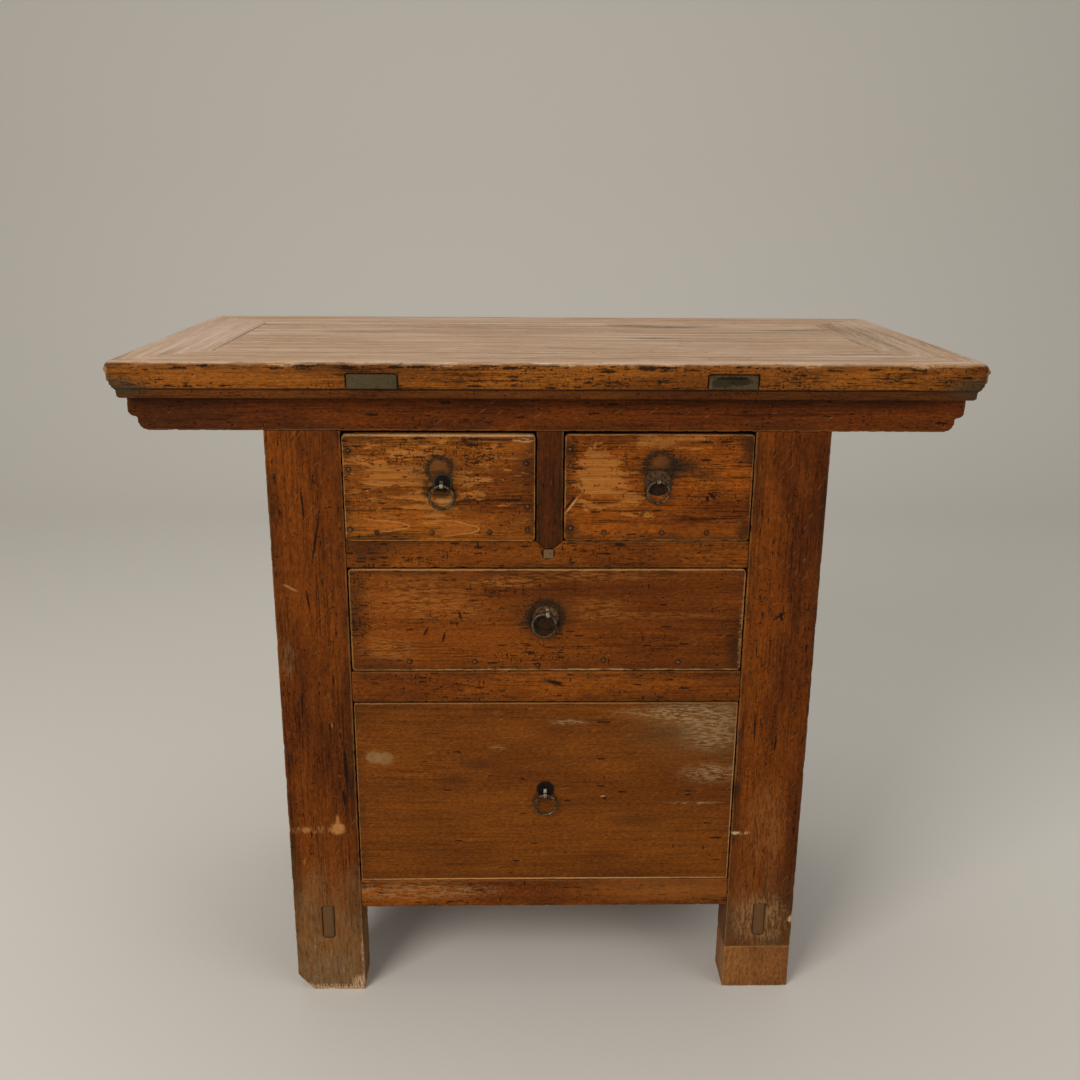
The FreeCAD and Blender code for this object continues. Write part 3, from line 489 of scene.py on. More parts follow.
class Finish:
    def __init__(self, name, along="X", shift=0.0, edge_known=True, face=FRONT):
        self.face = face
        self.material = bpy.data.materials.new(name)
        self.material.use_nodes = True
        self.tree = self.material.node_tree
        self.shader = self.tree.nodes["Principled BSDF"]
        self.place = add(self.tree, "ShaderNodeTexCoord").outputs["Object"]
        self.parts = parts_of(self.tree, self.place)
        order = {"X": (0, 1, 2), "Y": (1, 0, 2), "Z": (2, 1, 0)}[along]
        ordered = add(self.tree, "ShaderNodeCombineXYZ", {i: self.parts[order[i]] for i in range(3)}).outputs[0]
        self.grain_place = vector_calc(self.tree, "ADD", ordered, (shift, shift * 0.37, shift * 0.71))
        self.edge = 1.0
        if edge_known:
            self.edge = add(self.tree, "ShaderNodeAttribute", attribute_name="edge").outputs["Fac"]
        self.height = 0.0

    def calc(self, operation, a, b=0.0, clamp=False):
        return calc(self.tree, operation, a, b, clamp=clamp)

    def ramp(self, value, low, high, to_low=0.0, to_high=1.0):
        return ramp(self.tree, value, low, high, to_low, to_high)

    def noise(self, stretch, detail=2.0, roughness=0.5, distortion=0.0):
        """Noise that follows the grain of this piece."""
        return noise(self.tree, self.grain_place, stretch, detail, roughness, distortion)

    def group(self, node_tree, **values):
        """Place a node group. Underscores in the names of values stand for spaces."""
        named = {key.replace("_", " "): value for key, value in values.items()}
        return add(self.tree, "ShaderNodeGroup", named, node_tree=node_tree).outputs

    def cover(self, mask, colour, strength=1.0, rough=None):
        """Lay a colour over what is there, where the mask says."""
        masked = self.calc("MULTIPLY", mask, strength, clamp=True)
        above = colour if isinstance(colour, bpy.types.NodeSocket) else linear(colour)
        self.colour = mix_colour(self.tree, masked, self.colour, above)
        if rough is not None:
            inputs = {"Factor": masked, 2: self.rough, 3: rough}
            self.rough = add(self.tree, "ShaderNodeMix", inputs).outputs[0]

    def raise_by(self, value, millimetres):
        self.height = self.calc("ADD", self.height, self.calc("MULTIPLY", value, millimetres))

    def spot(self, centre, reach, turn=0.0, ragged=0.6, soft=0.4):
        """A mask that is 1 near a place and fades out raggedly."""
        return self.group(MARK, Vector=self.place, Centre=centre, Reach=reach, Turn=turn, Ragged=ragged,
                          Softness=soft)

    def field(self, base, places):
        """A value that is base everywhere and higher near some places: x, z, width, height, how much."""
        total = base
        for x, z, across, up, extra in places:
            near = self.spot((x, self.face, z), (across, 0.02, up), ragged=0.8, soft=1.2)["Mask"]
            total = self.calc("ADD", total, self.calc("MULTIPLY", near, extra))
        return total

    def between(self, axis, low, high, low_edge=0.002, high_edge=0.002, fray=(12, 90, 90)):
        """A mask that is 1 from low to high along an axis, with ragged ends of the given widths."""
        position = self.parts["XYZ".index(axis)]
        uneven = self.calc("SUBTRACT", self.noise(fray, 4, 0.6), 0.5)
        rising = self.calc("ADD", position, self.calc("MULTIPLY", uneven, low_edge * 2))
        falling = self.calc("ADD", position, self.calc("MULTIPLY", uneven, high_edge * 2))
        rise = self.ramp(rising, low - low_edge / 2, low + low_edge / 2)
        fall = self.ramp(falling, high - high_edge / 2, high + high_edge / 2, 1.0, 0.0)
        return self.calc("MULTIPLY", rise, fall)

    def wood(self, pale, dark, spacing=0.008, pith=(0.0, 0.05, 0.0), wander=0.03, rings=0.5, rough=0.75):
        """Bare wood: rings, fibre and pores, between a pale and a dark colour."""
        year, fibre, pores, self.streaks = self.group(
            GRAIN, Vector=self.grain_place, Pith=pith, Ring_Spacing=spacing, Wander=wander)
        fibre_part = self.ramp(fibre, 0.3, 0.75, 0.0, 0.55)
        self.figure = self.calc("ADD", self.calc("MULTIPLY", year, rings), fibre_part, clamp=True)
        self.colour = mix_colour(self.tree, self.figure, linear(pale), linear(dark))
        self.cover(pores, dark, 0.5)
        self.rough = rough
        self.raise_by(fibre, 0.12)
        self.raise_by(pores, -0.12)

    def lacquer(self, warm, deep, bareness, streaks=0.7, rub_width=0.002, grime_width=0.02, only=1.0):
        """A film over the wood, worn away in streaks. The grain shows through where it stays."""
        bare, self.rubbed, self.grime = self.group(
            WEAR, Vector=self.grain_place, Edge=self.edge, Bareness=bareness, Rub_Width=rub_width,
            Grime_Width=grime_width)
        cloud = self.noise((4, 15, 15), 5, 0.6)
        coat = mix_colour(self.tree, self.ramp(cloud, 0.36, 0.66), linear(warm), linear(deep))
        lines = self.calc("MULTIPLY", self.streaks, streaks)
        shade = self.calc("SUBTRACT", self.ramp(self.figure, 0.0, 1.0, 1.0, 0.72), lines, clamp=True)
        mottle = self.noise((170, 420, 420), 4, 0.7)
        shade = self.calc("MULTIPLY", shade, self.ramp(mottle, 0.32, 0.68, 0.68, 1.28))
        coat = mix_colour(self.tree, 1.0, coat, shade, "MULTIPLY")
        kept = self.calc("MULTIPLY", self.calc("SUBTRACT", 1.0, bare), only)
        gloss = self.ramp(self.noise((9, 30, 30), 4, 0.6), 0.3, 0.7,
                     GLOSSY, DULL)
        self.cover(kept, coat, 1.0, gloss)
        self.raise_by(kept, FILM)

    def age(self, gouges, dirt=0.7, rub=0.8, rub_colour=RUBBED_PALE, only=1.0):
        """Gouges dark with old dirt, grime near the edges, and arrises rubbed pale."""
        cuts, dents, scratches = self.group(KNOCKS, Vector=self.grain_place, Amount=gouges)
        cuts = self.calc("MULTIPLY", cuts, only)
        self.cover(self.calc("MULTIPLY", scratches, only), rub_colour, 0.4, 0.6)
        self.cover(self.calc("MULTIPLY", self.grime, only), OLD_DIRT, dirt, 0.6)
        self.cover(cuts, GOUGE_DARK, 0.88, 0.8)
        self.raise_by(cuts, -0.5)
        self.raise_by(dents, 0.45)
        self.cover(self.calc("MULTIPLY", self.rubbed, only), rub_colour, rub, 0.62)

    def mark(self, centre, reach, colour, strength=0.7, turn=0.0, ragged=0.6, soft=0.4, dig=0.0, rough=None,
             flaky=False, rim=False):
        """One stain, scuff or cut at a known place. A flaky one is broken up along the grain."""
        mask = self.spot(centre, reach, turn, ragged, soft)["Rim" if rim else "Mask"]
        if flaky:
            flakes = self.noise((85, 520, 520), 5, 0.66, 0.3)
            mask = self.calc("MULTIPLY", mask, self.ramp(flakes, 0.45, 0.56))
        self.cover(mask, colour, strength, rough)
        if dig:
            self.raise_by(mask, -dig)

    def marks(self, rows, depth=0.01, **shared):
        """Marks on one face: x, z, width, height, colour, strength, and what only this one has."""
        for x, z, across, up, colour, strength, *own in rows:
            looks = {**shared, **(own[0] if own else {})}
            self.mark((x, self.face, z), (across, depth, up), colour, strength, **looks)

    def done(self, specular=0.07):
        bumped = add(self.tree, "ShaderNodeBump", {"Height": self.height, "Distance": 0.001})
        self.tree.links.new(self.colour, self.shader.inputs["Base Color"])
        if isinstance(self.rough, bpy.types.NodeSocket):
            self.tree.links.new(self.rough, self.shader.inputs["Roughness"])
        else:
            self.shader.inputs["Roughness"].default_value = self.rough
        self.tree.links.new(bumped.outputs[0], self.shader.inputs["Normal"])
        self.shader.inputs["Specular IOR Level"].default_value = specular
        return self.material


print("layers ready")

# %% [markdown]
# ## Finish of the case
# The legs, rails and apron kept most of their lacquer. It darkened in fine streaks along the grain, and the
# feet are dusty from the floor. The marks on the legs that the eye keeps coming back to have their own
# places: two pale spots burnt through the finish, long cracks, and chips at the feet.

# %% Case finishes
def case_finish(name, along, warm=RED_WARM, deep=RED_DEEP, bareness=0.16, shift=0.0, gouges=0.16, dirt=0.6,
                rub=0.3, streaks=0.6):
    finish = Finish(name, along, shift)
    finish.wood(BARE_PALE, BARE_DARK, spacing=0.009, pith=(0.0, 0.06, 0.0))
    finish.lacquer(warm, deep, bareness, streaks)
    finish.age(gouges, dirt, rub)
    return finish


leg_finish = case_finish("leg_lacquer", "Z", shift=1.3)
dusty = leg_finish.between("Z", -0.1, 0.14, 0.01, 0.2, fray=(9, 30, 30))
broken = leg_finish.noise((44, 230, 230), 7, 0.68, 0.4)
dusty = leg_finish.calc("MULTIPLY", dusty, leg_finish.ramp(broken, 0.36, 0.60, 0.4, 1.0))
dusty = leg_finish.calc("MULTIPLY", dusty, leg_finish.ramp(leg_finish.parts[0], 0.1, -0.1, 0.55, 1.0))
leg_finish.cover(dusty, DUSTY, 0.58, 0.7)
low_leg = leg_finish.between("Z", -0.1, 0.09, 0.01, 0.12, fray=(9, 30, 30))
scraped = leg_finish.calc("MULTIPLY", low_leg, leg_finish.ramp(broken, 0.60, 0.66))
leg_finish.cover(scraped, (170, 142, 104), 0.4, 0.8)
grubby = leg_finish.calc("MULTIPLY", low_leg, leg_finish.ramp(broken, 0.40, 0.33))
leg_finish.cover(grubby, OLD_DIRT, 0.5, 0.8)
leg_finish.marks([
    (-0.2723, 0.2505, 0.0085, 0.0085, (176, 116, 64), 0.9),
    (-0.2722, 0.2620, 0.0022, 0.0080, (168, 108, 58), 0.8),
    (-0.3143, 0.2487, 0.0060, 0.0035, (166, 104, 54), 0.8),
    (-0.3060, 0.2487, 0.0340, 0.0050, (150, 104, 62), 0.6, FLAKY),
    (0.2578, 0.2410, 0.0140, 0.0025, (188, 150, 108), 0.8, FLAKY),
    (0.2520, 0.2412, 0.0050, 0.0018, (196, 160, 120), 0.9),
    (0.3350, 0.1078, 0.0040, 0.0050, CHIPPED, 0.9),
    (-0.3240, 0.4900, 0.0080, 0.0240, (104, 84, 58), 0.6, FLAKY),
    (-0.2520, 0.0110, 0.0110, 0.0110, CHIPPED, 0.9, FLAKY),
    (-0.2475, 0.0400, 0.0022, 0.0400, CHIPPED, 0.7, FLAKY),
    (-0.3300, 0.0050, 0.0140, 0.0070, CHIPPED, 0.8, FLAKY),
    (-0.2900, 0.0040, 0.0450, 0.0050, CHIPPED, 0.8, FLAKY),
    (-0.2920, 0.0300, 0.0400, 0.0250, (120, 106, 80), 0.5, FLAKY),
    (0.2920, 0.1080, 0.0340, 0.0380, (150, 116, 76), 0.6, FLAKY),
    (0.2920, 0.2500, 0.0260, 0.0600, (150, 100, 54), 0.35, FLAKY),
], depth=0.012, ragged=1.1, rough=0.7)
for x, z, across, up, turn in (
        (-0.2580, 0.339, 0.0024, 0.030, 0.04), (-0.2620, 0.296, 0.0018, 0.012, 0.10),
        (-0.2810, 0.650, 0.0012, 0.032, -0.18), (-0.2948, 0.569, 0.0012, 0.014, 0.12),
        (0.2680, 0.395, 0.0011, 0.020, 0.02), (0.2960, 0.372, 0.0012, 0.012, -0.03),
        (0.2905, 0.548, 0.0080, 0.0016, 0.60), (0.2920, 0.546, 0.0016, 0.006, 0.20),
        (-0.2950, 0.690, 0.0010, 0.020, 0.05), (-0.3090, 0.430, 0.0010, 0.018, -0.04)):
    leg_finish.marks([(x, z, across, up, GOUGE_DARK, 0.9)], depth=0.012, turn=turn, ragged=1.1, dig=0.8)
leg_finish.marks([
    (0.2480, 0.306, 0.007, 0.012, OLD_DIRT, 0.8, {"soft": 0.8}),
    (-0.3159, 0.585, 0.009, 0.0016, (158, 108, 62), 0.7, {"turn": -0.5}),
], depth=0.012, ragged=1.2)
foot_chips = leg_finish.between("Z", -0.1, 0.003, 0.01, 0.006, fray=(60, 60, 60))
leg_finish.cover(foot_chips, CHIPPED, 0.6, 0.8)
LEG = leg_finish.done()

rail_finish = case_finish("rail_lacquer", "X", (137, 71, 13), (105, 50, 9), 0.12, 0.0, gouges=0.3, dirt=0.5,
                          rub=0.15, streaks=0.5)
rail_finish.marks([
    (-0.223, 0.627, 0.03, 0.02, OLD_DIRT, 0.6, {"soft": 1.0}),
    (-0.17, 0.155, 0.10, 0.012, (158, 118, 76), 0.55, FLAKY),
    (0.17, 0.155, 0.10, 0.014, (150, 92, 40), 0.4, {"soft": 1.0}),
    (0.010, 0.458, 0.012, 0.003, GOUGE_DARK, 0.9, {"turn": -0.35, "ragged": 1.1, "dig": 0.4}),
], depth=0.02, ragged=1.0)
rail_finish.marks([(0.0003, 0.6295, 0.0088, 0.0080, GOUGE_DARK, 0.9)], depth=0.012, ragged=0.3, soft=0.12)
RAIL = rail_finish.done()
DIVIDER = case_finish("divider_lacquer", "Z", (92, 42, 8), (68, 31, 7), 0.05, 2.2, dirt=0.7, rub=0.25,
                      gouges=0.05).done()
apron_finish = case_finish("apron_lacquer", "X", (108, 50, 7), (74, 32, 5), 0.08, 4.1, gouges=0.2, rub=0.2)
apron_finish.mark((-0.46, -0.2, 0.81), (0.10, 0.2, 0.03), (48, 25, 10), 0.55, ragged=0.8, soft=1.0)
APRON = apron_finish.done()
SIDE = case_finish("side_lacquer", "Z", bareness=0.14, shift=6.3).done()
side_rail_finish = case_finish("side_rail_lacquer", "Y", bareness=0.14, shift=7.7)
tenon_end = side_rail_finish.between("Y", BEYOND, TENON_ENDS)
side_rail_finish.cover(tenon_end, (98, 74, 48), 0.8, 0.75)
side_rail_finish.cover(side_rail_finish.calc("MULTIPLY", tenon_end, side_rail_finish.rubbed), OLD_DIRT, 0.9)
SIDE_RAIL = side_rail_finish.done()
REPAIR = case_finish("repair_lacquer", "Z", (152, 100, 52), (134, 84, 42), 0.06, 9.1, gouges=0.02, dirt=0.3,
                     rub=0.4, streaks=0.12).done()
print("case finishes ready")

# %% [markdown]
# ## Finish of the drawer fronts
# The fronts were handled every day, and each wore in its own way. The small ones are rubbed golden and are
# cut about with dark gouges. The wide one is smoother and dark at its ends. The deep one is the youngest: it
# has few gouges, but grey scuffs at the upper right. Iron blackens elm, so three of the four pulls sit in a
# dark stain. Dirt also gathers round each nail.

# %% Drawer finishes
def front_finish(name, face, warm, deep, bareness, shift, gouges, pith, dirt=0.7, rub=0.85, worn=(),
                 clusters=(), streaks=0.5, rub_width=0.0016):
    """The finish of one front, barer where it is worn and more knocked about in its clusters."""
    finish = Finish(name, "X", shift, face=face)
    finish.wood(BARE_PALE, BARE_DARK, spacing=0.010, pith=pith, wander=0.045, rings=0.6)
    finish.lacquer(warm, deep, finish.field(bareness, worn), streaks, rub_width, grime_width=0.016)
    finish.age(finish.field(gouges, clusters), dirt, rub)
    return finish


def iron_stain(finish, x, z, reach):
    """Iron blackens elm all round it. The darkest part is a crescent where an older plate once sat."""
    finish.marks([
        (x, z, reach * 1.7, reach * 1.3, BROWN_STAIN, 0.7, {"ragged": 1.3, "soft": 1.0}),
        (x, z, reach, reach, IRON_STAIN, 0.85, {"ragged": 1.1, "soft": 0.42, "rough": 0.65, "rim": True}),
        (x, z, reach, reach, IRON_STAIN, 0.6, {"ragged": 1.3, "soft": 0.6, "flaky": True}),
        (x, z + reach * 0.35, reach * 0.6, reach * 0.4, (112, 66, 30), 0.7, {"ragged": 1.2, "soft": 0.4}),
    ])


def ring_rub_and_shadow(finish, drawer, strength=0.85):
    """A hanging ring rubs a dark round into the front behind it. The round is also painted shadow: it stands for
    the ring's shadow on the wood.
    """
    low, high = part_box(drawer + "_pull_ring")
    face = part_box(drawer + "_front")[0][1]
    centre = ((low[0] + high[0]) / 2, face, (low[2] + high[2]) / 2)
    radius = (high[0] - low[0]) / 2
    # Rubbed wear and painted shadow: a dark rim on the front round the hanging ring, which stands also for the
    # ring's shadow.
    finish.mark(centre, (radius, 0.01, radius), GOUGE_DARK, strength, ragged=0.35, soft=0.22, rim=True)
    upper = (centre[0], face, centre[2] + radius * 0.5)
    finish.mark(upper, (radius * 0.9, 0.01, radius * 0.7), GOUGE_DARK, strength * 0.9, ragged=0.9, soft=0.4)


def nail_dirt(finish, node):
    for x, y, z in nail_places(node):
        finish.mark((x, y, z), (0.0036, 0.01, 0.0036), GOUGE_DARK, 0.8, ragged=0.7, soft=0.5)


def nail_places(node):
    """The front middle of each loose part of a solid."""
    cloud = bmesh.new()
    cloud.from_mesh(frame["nodes"][node].data)
    bmesh.ops.remove_doubles(cloud, verts=cloud.verts, dist=1e-6)
    left = set(cloud.verts)
    places = []
    while left:
        heap = [left.pop()]
        island = []
        while heap:
            corner = heap.pop()
            island.append(corner.co.copy())
            for edge in corner.link_edges:
                other = edge.other_vert(corner)
                if other in left:
                    left.remove(other)
                    heap.append(other)
        low = [min(point[axis] for point in island) for axis in range(3)]
        high = [max(point[axis] for point in island) for axis in range(3)]
        places.append(((low[0] + high[0]) / 2, low[1], (low[2] + high[2]) / 2))
    cloud.free()
    return sorted(places)


small_left = front_finish(
    "drawer_small_left_finish", -0.2255, GOLD_WARM, GOLD_DEEP, 0.28, 0.7, 0.2, (0, 0.05, -0.05), streaks=0.75,
    worn=[(-0.15, 0.705, 0.05, 0.03, 0.2)],
    clusters=[(-0.104, 0.758, 0.034, 0.018, 1.2), (-0.088, 0.727, 0.014, 0.024, 1.0),
              (-0.165, 0.735, 0.026, 0.020, 0.8), (-0.215, 0.728, 0.020, 0.030, 0.5)])
iron_stain(small_left, -0.1305, 0.7355, 0.0145)
small_left.marks([(-0.146, 0.712, 0.005, 0.010, IRON_STAIN, 0.7)], ragged=1.6, soft=0.5)
for x, z, steepness, reach in ((-0.168, 0.666, 690.0, 0.075), (-0.083, 0.662, 400.0, 0.060)):
    line, inside = small_left.group(ARCH, Vector=small_left.place, Tip=(x, small_left.face, z),
                                    Steepness=steepness, Length=reach)
    small_left.cover(inside, (168, 96, 34), 0.45)
    small_left.cover(line, (188, 128, 66), 0.6)
ring_rub_and_shadow(small_left, "drawer_small_left")
small_left.marks([
    (-0.1277, 0.6965, 0.010, 0.0026, (176, 122, 70), 0.9, {"ragged": 0.5}),
    (-0.030, 0.7705, 0.012, 0.0028, (190, 140, 88), 0.8, FLAKY),
    (-0.026, 0.742, 0.012, 0.022, BROWN_STAIN, 0.55, {"ragged": 1.0, "soft": 1.0}),
    (-0.10, 0.7765, 0.14, 0.0016, (190, 146, 96), 0.7, {"soft": 0.6}),
], ragged=0.9)
nail_dirt(small_left, "drawer_small_left_nails")
SMALL_LEFT = small_left.done()

small_right = front_finish(
    "drawer_small_right_finish", -0.2225, (148, 76, 14), (92, 41, 6), 0.24, 3.9, 0.2, (0, 0.06, 0.04),
    streaks=0.75,
    worn=[(0.058, 0.738, 0.026, 0.020, 0.5), (0.10, 0.70, 0.05, 0.02, 0.25), (0.15, 0.768, 0.05, 0.008, 0.3)],
    clusters=[(0.20, 0.72, 0.03, 0.03, 0.8), (0.105, 0.745, 0.016, 0.016, 0.7), (0.028, 0.72, 0.010, 0.040, 0.7)])
iron_stain(small_right, 0.1335, 0.738, 0.017)
small_right.marks([(0.160, 0.740, 0.020, 0.010, IRON_STAIN, 0.75)], ragged=1.2, soft=0.9)
ring_rub_and_shadow(small_right, "drawer_small_right")
small_right.marks([
    (0.187, 0.7286, 0.014, 0.006, IRON_STAIN, 0.6, {"ragged": 1.1, "soft": 0.8, "dig": 0.0}),
    (0.197, 0.7025, 0.0052, 0.0022, GOUGE_DARK, 0.9, {"turn": -0.7}),
    (0.1915, 0.6985, 0.0022, 0.0034, GOUGE_DARK, 0.9, {"turn": 0.3}),
    (0.193, 0.7055, 0.0018, 0.0012, GOUGE_DARK, 0.9),
], ragged=1.5, soft=0.2, dig=0.4)
small_right.marks([
    (0.028, 0.691, 0.0013, 0.012, (186, 130, 74), 0.8),
    (0.0255, 0.693, 0.0012, 0.012, GOUGE_DARK, 0.9, {"dig": 0.8}),
], turn=-0.63, ragged=0.6)
for x, z in ((0.2386, 0.765), (0.239, 0.6575), (0.026, 0.660), (0.025, 0.759)):
    small_right.marks([(x, z, 0.010, 0.012, OLD_DIRT, 0.75)], ragged=1.4, soft=0.8)
nail_dirt(small_right, "drawer_small_right_nails")
SMALL_RIGHT = small_right.done()

wide = front_finish(
    "drawer_wide_finish", -0.2195, (128, 65, 12), (97, 46, 8), 0.08, 5.2, 0.14, (0, 0.07, 0.02), rub=1.0,
    streaks=0.45, rub_width=0.0022,
    clusters=[(-0.063, 0.586, 0.022, 0.008, 1.5), (0.0, 0.497, 0.07, 0.010, 0.9),
              (-0.235, 0.565, 0.012, 0.040, 2.2), (-0.125, 0.543, 0.02, 0.006, 0.7),
              (-0.04, 0.545, 0.02, 0.015, 0.5)])
for x, z, across, up, strength in (
        (-0.16, 0.575, 0.060, 0.022, 0.45), (-0.05, 0.592, 0.035, 0.006, 0.7), (-0.20, 0.505, 0.03, 0.016, 0.5),
        (-0.13, 0.555, 0.06, 0.010, 0.35), (0.05, 0.60, 0.08, 0.006, 0.4), (0.06, 0.556, 0.035, 0.014, 0.4),
        (0.14, 0.548, 0.08, 0.004, 0.3)):
    wide.marks([(x, z, across, up, (172, 106, 44), strength)], ragged=0.8, soft=0.9, flaky=True)
wide.marks([
    (-0.238, 0.560, 0.013, 0.046, OLD_DIRT, 0.55),
    (-0.215, 0.482, 0.028, 0.010, BROWN_STAIN, 0.6, {"ragged": 1.2}),
    (0.237, 0.500, 0.010, 0.030, OLD_DIRT, 0.7),
], ragged=1.4, soft=0.9)
wide.marks([(0.243, 0.520, 0.0030, 0.050, (168, 126, 76), 0.45)], 0.003, ragged=1.4, soft=0.5, flaky=True)
wide.marks([(0.020, 0.4752, 0.230, 0.0018, (180, 134, 82), 0.7)], ragged=1.0, soft=0.5, flaky=True)
for x, z, turn in ((-0.108, 0.548, 0.25), (-0.151, 0.527, -0.5), (-0.129, 0.519, -0.2)):
    wide.marks([(x, z, 0.0014, 0.006, GOUGE_DARK, 0.9)], turn=turn, ragged=0.8, dig=0.6)
iron_stain(wide, -0.002, 0.546, 0.0200)
ring_rub_and_shadow(wide, "drawer_wide")
nail_dirt(wide, "drawer_wide_nails")
WIDE = wide.done()

deep = front_finish(
    "drawer_deep_finish", -0.2202, (122, 65, 14), (100, 51, 10), 0.04, 8.6, 0.03, (0, 0.09, 0.1), dirt=0.4,
    rub=0.6, streaks=0.3)
deep.marks([
    (-0.222, 0.354, 0.010, 0.0085, (142, 110, 68), 0.55),
    (-0.208, 0.352, 0.011, 0.0090, (142, 110, 68), 0.55),
], ragged=1.1, soft=0.3, rough=0.6)
deep.marks([
    (0.205, 0.400, 0.070, 0.038, (104, 78, 44), 0.5, {"ragged": 1.2, "soft": 1.0}),
    (0.215, 0.395, 0.060, 0.040, (58, 36, 16), 0.5, FLAKY),
], ragged=1.4, soft=0.9)
for x, z, across, up, strength in (
        (0.195, 0.413, 0.055, 0.014, 0.75), (0.212, 0.385, 0.032, 0.020, 0.7), (0.145, 0.417, 0.05, 0.006, 0.5),
        (0.215, 0.330, 0.034, 0.012, 0.6), (0.030, 0.403, 0.020, 0.004, 0.6), (-0.063, 0.367, 0.008, 0.003, 0.6),
        (0.193, 0.286, 0.030, 0.002, 0.7)):
    deep.marks([(x, z, across, up, (156, 126, 86), strength)], ragged=0.8, soft=0.7, flaky=True, rough=0.65)
for x, z, across, up in ((-0.088, 0.343, 0.020, 0.006), (-0.12, 0.32, 0.018, 0.008), (0.12, 0.26, 0.03, 0.008),
                         (0.17, 0.44, 0.05, 0.004)):
    deep.marks([(x, z, across, up, (66, 36, 12), 0.55)], ragged=1.4, soft=0.9)
deep.marks([
    (0.077, 0.2935, 0.0024, 0.0020, GOUGE_DARK, 0.9),
    (0.0745, 0.2965, 0.0030, 0.0012, (170, 130, 86), 0.8),
], ragged=0.8)
deep.marks([
    (0.0, 0.1734, 0.243, 0.0014, (198, 142, 84), 0.8),
    (0.2438, 0.290, 0.0012, 0.130, (186, 134, 80), 0.6),
], depth=0.004, ragged=0.8, soft=0.5)
ring_rub_and_shadow(deep, "drawer_deep", 0.45)
DEEP = deep.done()
print("drawer finishes ready")

# %% [markdown]
# ## Finish of the top
# Water and scrubbing took the lacquer off the top long ago. What is left is dry elm, pinkish grey, with
# streaks along the boards. The moulded edge under it is still golden, but it is nicked along its arris, and
# the dirt in the nicks shows as short black dashes. One material does both: a mask by height, with a ragged
# border, tells the bare face from the lacquered edge.

# %% Top finishes
SURFACE = 0.866  # the height of the flat top
TOP_FACE = 0.8638  # the height at which the lacquered edge ends


def dry_wood(finish):
    """Scrubbed elm with pale and dark streaks along the grain."""
    long_streaks = finish.noise((3.5, 95, 95), 6, 0.62, 0.3)
    clouds = finish.noise((2.2, 7, 7), 4, 0.55)
    finish.cover(finish.ramp(long_streaks, 0.48, 0.68), (128, 94, 68), 0.62)
    finish.cover(finish.ramp(long_streaks, 0.48, 0.32), (214, 192, 170), 0.7)
    finish.cover(finish.ramp(clouds, 0.42, 0.75), (172, 134, 100), 0.6)
    swerve = noise(finish.tree, finish.grain_place, (24, 90, 90), 4, 0.6, output="Color")
    place = vector_calc(finish.tree, "MULTIPLY", swerve, (0.03, 0.006, 0.006))
    place = vector_calc(finish.tree, "ADD", finish.grain_place, place)
    flakes = noise(finish.tree, place, (15, 230, 230), 7, 0.72)
    finish.cover(finish.ramp(flakes, 0.54, 0.64), (218, 198, 178), 0.6)
    pits = noise(finish.tree, place, (36, 400, 400), 5, 0.7)
    finish.cover(finish.ramp(pits, 0.60, 0.69), (92, 70, 50), 0.6)
    knocked = flecks(finish.tree, place, (120.0, 300.0, 300.0), 0.012, 0.5)
    finish.cover(knocked, (70, 56, 44), 0.7)
    finish.raise_by(long_streaks, 0.2)
    finish.raise_by(flakes, 0.25)
    finish.raise_by(knocked, -0.5)


def top_finish(name, along, shift, edge=True):
    finish = Finish(name, along, shift)
    finish.wood((190, 161, 134), (160, 126, 98), spacing=0.014, pith=(0.0, 0.02, -0.10), wander=0.06, rings=0.35,
                rough=0.8)
    dry_wood(finish)
    if edge:
        side = finish.between("Z", 0.0, TOP_FACE, 0.01, 0.0028, fray=(26, 110, 110))
        finish.lacquer((150, 86, 25), (108, 58, 15), 0.14, rub_width=0.004, grime_width=0.014, only=side)
        finish.age(0.5, rub=0.55, rub_colour=(176, 132, 84), only=side)
        under_arris = finish.between("Z", 0.8570, 0.8625, 0.003, 0.002)
        fray = noise(finish.tree, finish.grain_place, (300, 300, 300), 4, 0.6, output="Color")
        ragged = vector_calc(finish.tree, "MULTIPLY", fray, (0.006, 0.006, 0.006))
        ragged = vector_calc(finish.tree, "ADD", finish.grain_place, ragged)
        dashes = flecks(finish.tree, ragged, (38.0, 260.0, 260.0), 0.5, 0.5)
        dashes = finish.calc("MULTIPLY", dashes, under_arris)
        finish.cover(dashes, GOUGE_DARK, 0.9, 0.8)
        finish.raise_by(dashes, -0.8)
        # Painted shade: the lower bead band under the moulded edge faces down, and it is painted darker for the
        # shade that falls on it.
        shaded_bead = finish.between("Z", 0.0, 0.8335, 0.01, 0.002)
        finish.cover(shaded_bead, (62, 29, 8), 0.7, 0.5)
        seam = finish.between("Z", 0.8325, 0.8350, 0.001, 0.001)
        finish.cover(seam, GOUGE_DARK, 0.8, 0.7)
    return finish


panel_finish = top_finish("top_panel_finish", "X", 0.0, edge=False)
for x, y, across, along in (
        (0.184, 0.117, 0.050, 0.012), (0.130, 0.135, 0.030, 0.008), (0.1395, -0.0165, 0.026, 0.006),
        (0.36, 0.08, 0.05, 0.008), (-0.25, 0.05, 0.05, 0.004)):
    for strength, flaky in ((0.4, False), (0.85, True)):
        panel_finish.mark((x, y, SURFACE), (across, along, 0.02), GREEN_STAIN, strength, ragged=1.0,
                          soft=0.9, flaky=flaky)
